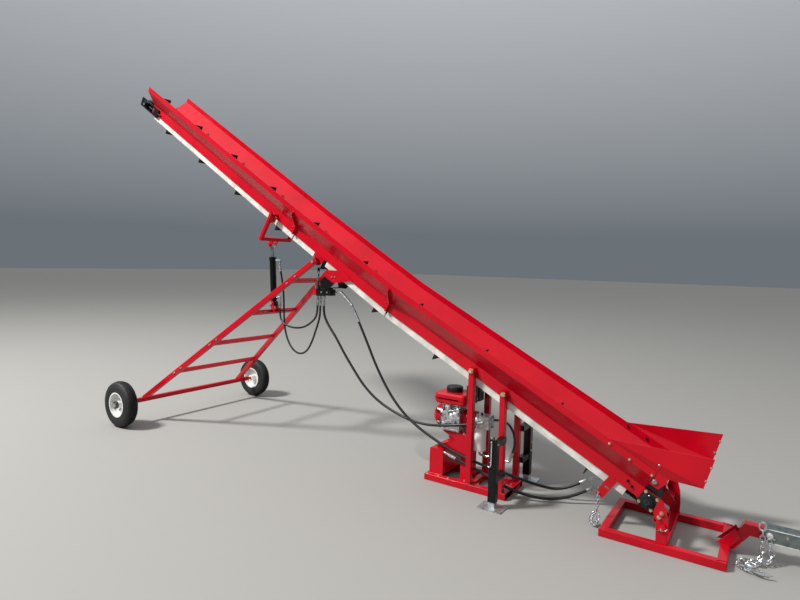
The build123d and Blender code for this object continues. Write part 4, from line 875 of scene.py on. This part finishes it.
engineBolts = bmesh.new()
for place, way, across in [
    ((776, -104, 478), (0, -1, 0), 9), ((824, -104, 478), (0, -1, 0), 9), ((776, -104, 427), (0, -1, 0), 9),
    ((824, -104, 427), (0, -1, 0), 9), ((742, -113, 408), (0, -1, 0), 10), ((838, -108, 400), (0, -1, 0), 12),
    ((718, -52, 497), (-1, 0, 0), 9), ((700, 66, 497), (-1, 0, 0), 9), ((762, -112, 530), (0, -1, 0), 8),
    ((784, -112, 530), (0, -1, 0), 8), ((952, -64, 640), (1, 0, 0), 9), ((952, -30, 600), (1, 0, 0), 9),
    ((952, 48, 640), (1, 0, 0), 9), ((894, -40, 490), (0, -0.7, 0.7), 9), ((894, 40, 490), (0, 0.7, 0.7), 9),
    ((894, -58, 424), (0, -0.95, -0.3), 9), ((1050, -30, 480), (1, 0, 0), 11), ((1050, 30, 480), (1, 0, 0), 11),
    ((1050, -30, 412), (1, 0, 0), 11), ((1050, 30, 412), (1, 0, 0), 11),
]:
    addBolt(engineBolts, place, way, across)
addPiece("engineBolts", engineBolts, zincPlate, "conveyor", 20)

black = bmesh.new()
capX, capY, capZ = engine["capCentre"]
for k in range(engine["ribs"]):
    turn = 2 * math.pi * k / engine["ribs"]
    addTurned(
        black, [(3.2, 2), (3.2, 29), (2.0, 33), (0, 33)],
        (capX + engine["ribRing"] * math.cos(turn), capY + engine["ribRing"] * math.sin(turn), capZ), (0, 0, 1), 6,
    )
addTurned(black, [(56.5, 0), (56.5, 5), (54, 6.5)], engine["capCentre"], (0, 0, 1), 40)
addTurned(black, [(57, 27), (57, 33), (52, 37.5), (40, 38.5), (0, 38.5)], engine["capCentre"], (0, 0, 1), 40)
addTurned(black, [(7, -1), (7, 10), (12, 12), (12, 24), (0, 26)], (718, -84, 384), (-0.4, -1, 0.2), 14)
addBlock(black, (846, -100, 556), (872, -88, 562), 1.5)
addTurned(black, [(9, 0), (9, 14), (6, 17), (0, 17)], (1004, -46, 500), (0, -0.3, 1), 14)
for k in range(6):
    addBlock(black, (903 + 8 * k, 82, 584), (906 + 8 * k, 85, 660), 0.8)
addPiece("engineBlackTrim", black, mouldedBlack, "conveyor", 30)

# Tank seam: the two pressed halves meet in a lip with round corners
lip = {"middle": (775.5, 0, 582.5), "size": (245, 220, 4), "corner": 42.0}
seam = bmesh.new()
sides = [side / 1000 for side in lip["size"]]
where = Matrix.Translation(metres(*lip["middle"])) @ Matrix.Diagonal((*sides, 1))
bmesh.ops.create_cube(seam, size=1.0, matrix=where)
upright = [edge for edge in seam.edges if abs((edge.verts[0].co - edge.verts[1].co).z) > 0.001]
rollEdges(seam, upright, lip["corner"], 8)
addPiece("tankSeam", seam, redEnamel, "conveyor", 30)

# Recoil cover: raised hub ring, louvres round the cone and a black grip
rings = bmesh.new()
addTurned(rings, [(79, 40), (82, 41), (82, 46), (79.5, 47)], engine["recoil"], (-1, 0, 0), 48)
addTurned(rings, [(40, 66), (40, 71.2), (36, 72.6), (31, 72.6), (30, 71)], engine["recoil"], (-1, 0, 0), 40)
addPiece("recoilRings", rings, redEnamel, "conveyor", 30)
louvre = {"low": (-58.6, -3.4, 48), "high": (-48, 3.4, 75), "middle": (-53.3, 0, 61.5), "cone": 35.0, "thin": 0.16}
slots = bmesh.new()
for k in range(engine["louvres"]):
    turn = Matrix.Rotation(2 * math.pi * k / engine["louvres"], 4, "X")
    before = set(slots.verts)
    addBlock(slots, louvre["low"], louvre["high"], 0.8)
    made = [v for v in slots.verts if v not in before]
    middle = metres(*louvre["middle"])
    slope = Matrix.Translation(middle) @ Matrix.Rotation(math.radians(louvre["cone"]), 4, "Y")
    flatten = slope @ Matrix.Diagonal((louvre["thin"], 1, 1, 1)) @ Matrix.Translation(-middle)
    bmesh.ops.transform(slots, verts=made, matrix=Matrix.Translation(metres(*engine["recoil"])) @ turn @ flatten)
addBlock(slots, (664, -88, 480), (690, -76, 492), 3.0)
addPiece("recoilLouvres", slots, mouldedBlack, "conveyor", 30)

# Wire and small pipes, each with its radius: throttle rod, fuel and breather lines, jack crank and its pins
wires = {
    "throttleRod": (1.6, zincPlate, "zinc", [
        [(742, -104, 492), (770, -118, 505), (800, -118, 506), (838, -104, 520)],
    ]),
    "fuelLine": (3.0, mouldedBlack, "black_plastic", [
        [(846, -94, 556), (856, -108, 540), (862, -100, 522), (852, -84, 506)],
        [(722, -92, 392), (708, -106, 420), (716, -104, 470), (740, -96, 500), (736, -80, 546)],
    ]),
    "jackHandle": (4.6, chromedRod, "bare_steel", [
        [(1203, -321, 432), (1203, -322, 380), (1203, -322, 320), (1203, -322, 284), (1199, -324, 270),
         (1190, -324, 266), (1182, -322, 270)],
    ]),
    "jackPinLoops": (2.0, zincPlate, "zinc", [
        [(1198, -316, z), (1198, -329, z + 1), (1208, -329, z + 1), (1208, -316, z)] for z in (426, 296)
    ]),
}
for name, (radius, finish, slotName, routes) in wires.items():
    addLine(name, routes, radius, finish, "conveyor")

# Blank label plate low on the starter cover
label = bmesh.new()
addBlock(label, (-11, -9, -0.9), (11, 9, 0.9), 0.6)
bmesh.ops.transform(label, matrix=aimed((683, -71.5, 403), (-0.1, -0.86, -0.5)), verts=label.verts)
addPiece("recoilLabel", label, whiteEnamel, "conveyor", 30)
print("engine trimmed")

# Valve: silver spigots, spool, screws and lever clevis, red tag plate, black lever boot and end cap
valve = bmesh.new()
spigot = [(15.5, 0), (15.5, 5), (13.6, 6), (13.6, 12), (15, 13), (15, 18), (10, 19)]
spool = [(12.5, -1), (12.5, 6), (15, 7), (15, 16), (9, 17), (9, 26), (11, 27), (11, 34), (0, 35)]
clevis = [(6, 0), (12, 1), (12, 9), (9, 11), (9, 24), (12, 26), (12, 34), (6, 35)]
screw = [(7, -1), (7, 5), (3, 5.5), (0, 5)]
for profile, place, way, steps in [
    (spigot, (-478, -62, 1228), (0, 0, -1), 6), (spigot, (-448, -62, 1228), (0, 0, -1), 6),
    (spigot, (-410, -62, 1228), (0, 0, -1), 6), (spool, (-446, -74, 1285), (0, 0, 1), 6),
    ([(11, -1), (11, 8), (8.5, 9), (8.5, 22), (0, 22)], (-474, -78, 1285), (0, -0.25, 1), 8),
    (screw, (-400, -104, 1262), (0, -1, 0), 8), (screw, (-340, -104, 1262), (0, -1, 0), 8),
    (clevis, (-436.5, -104.5, 1352), (0, 0, 1), 8),
    ([(4, 0), (8, 1), (8, 24), (4, 26)], (-435, -105, 1404), (0.1, 0, 1), 12),
    ([(8, -1), (8, 14), (11, 15), (11, 30), (7, 32)], (-462, -100, 1300), (-0.35, 0, 1), 8),
]:
    addTurned(valve, profile, place, way, steps)
addPiece("valveFittings", valve, zincPlate, "conveyor", 25)
tag = bmesh.new()
addBlock(tag, (-492, -107, 1240), (-455, -103.6, 1282), 1.2)
addPiece("valvePlate", tag, redEnamel, "conveyor", 30)
boot = bmesh.new()
addTurned(
    boot, [(16, 0), (17, 3), (13, 6), (15, 9), (11.5, 12), (13, 15), (9.5, 18), (11, 21), (6, 25), (4.5, 26)],
    (-439, -98, 1285), (0, 0, 1), 20,
)
addTurned(boot, [(15, 0), (15, 4), (13, 8), (0, 9)], (-300, -75, 1261), (1, 0, 0), 16)
addPiece("valveBoot", boot, mouldedBlack, "conveyor", 40)

# Oil tank: filler cap and end plug; filter: its two seams and base nut, in the filter's white, brightened as painted
# light
tank = bmesh.new()
addTurned(tank, [(28, 0), (28, 4), (31, 5), (31, 17), (28, 20), (0, 20.5)], (701, 118, 247), (0, 0, 1), 28)
addTurned(tank, [(13, -1), (13, 3), (9, 3.5), (9, 2), (0, 2)], (640, -60, 120), (-1, 0, 0), 20)
addPiece("tankCap", tank, mouldedBlack, "conveyor", 35)
can = bmesh.new()
addTurned(can, [(42.3, 0), (43.2, 1.4), (42.3, 3)], (962, 20, 246), (0, 0, 1), 40)
addTurned(can, [(42.3, 0), (43.6, 2), (43.6, 6), (42.3, 8)], (962, 20, 366), (0, 0, 1), 40)
addTurned(can, [(16, 0), (16, -7), (13, -9), (0, -9)], (962, 20, 235.5), (0, 0, 1), 6)
addPiece("filterSeams", can, filterEnamelPaintedLit, "conveyor", 35)

# Bearings: cap ring, grease nipple and the locking collar that covers the tail shaft's end
iron, nipples = bmesh.new(), bmesh.new()
bearing = {
    "shaft": (2067.7, 124.0, 213.6), "nipple": (2076, 133, 248),
    "ring": [(38, -1), (38, 3), (33, 5), (31, 9), (26, 10)],
    "collar": [(19, 0), (19, 22), (17, 25), (12.6, 25), (12, 26.4), (0, 26.8)],
    "nippleShape": [(4, 0), (4, 4), (2.2, 5), (2.2, 9), (3, 11), (0, 13)],
}
for hand in (-1, 1):
    side = Vector((1, hand, 1))
    addTurned(iron, bearing["ring"], Vector(bearing["shaft"]) * side, (0, hand, 0), 32)
    addTurned(iron, bearing["collar"], Vector(bearing["shaft"]) * side, (0, hand, 0), 24)
    addTurned(nipples, bearing["nippleShape"], Vector(bearing["nipple"]) * side, (0.2, hand, 0.6), 8)
addPiece("bearingRings", iron, bearingIron, "conveyor", 30)
addPiece("greaseNipples", nipples, zincPlate, "conveyor", 40)
print("trim done")

# Floor and light: pale ground, one high key from the left front small enough to cast clear shadows, pale sky
studio = {
    "reach": 60.0, "floor": "#96948f", "sky": "#f2f5fa", "low": "#757c83", "skyStrength": 0.82,
    "keyPlace": (-6.0, -7.0, 11.0), "keyAim": (-0.2, 0.0, 0.8), "keySize": 1.8, "keyPower": 2750.0,
}
floorMesh = bmesh.new()
bmesh.ops.create_grid(floorMesh, x_segments=1, y_segments=1, size=studio["reach"])
floorData = bpy.data.meshes.new("floor")
floorMesh.to_mesh(floorData)
floorMesh.free()
floor = bpy.data.objects.new("floor", floorData)
bpy.context.scene.collection.objects.link(floor)
floorFinish, _, floorBody, _ = newFinish("paleFloor", Roughness=0.85, Specular_IOR_Level=0.2)
floorBody.inputs["Base Color"].default_value = srgb(studio["floor"])
floorData.materials.append(floorFinish)

world = bpy.data.worlds.new("surroundings")
world.use_nodes = True
heights = addNode(
    world.node_tree, "ShaderNodeSeparateXYZ",
    links={"Vector": addNode(world.node_tree, "ShaderNodeTexCoord").outputs["Generated"]},
)
lift = addNode(
    world.node_tree, "ShaderNodeMapRange", {"From Min": 0.05, "From Max": 0.75}, {"Value": heights.outputs["Z"]}
)
dome = blendColours(world.node_tree, srgb(studio["low"]), srgb(studio["sky"]), lift.outputs["Result"])
world.node_tree.links.new(dome, world.node_tree.nodes["Background"].inputs["Color"])
world.node_tree.nodes["Background"].inputs["Strength"].default_value = studio["skyStrength"]
bpy.context.scene.world = world
keyData = bpy.data.lights.new("key", "AREA")
keyData.size = studio["keySize"]
keyData.energy = studio["keyPower"]
key = bpy.data.objects.new("key", keyData)
key.location = studio["keyPlace"]
key.rotation_euler = (Vector(studio["keyAim"]) - Vector(studio["keyPlace"])).to_track_quat("-Z", "Y").to_euler()
bpy.context.scene.collection.objects.link(key)
print("studio set")
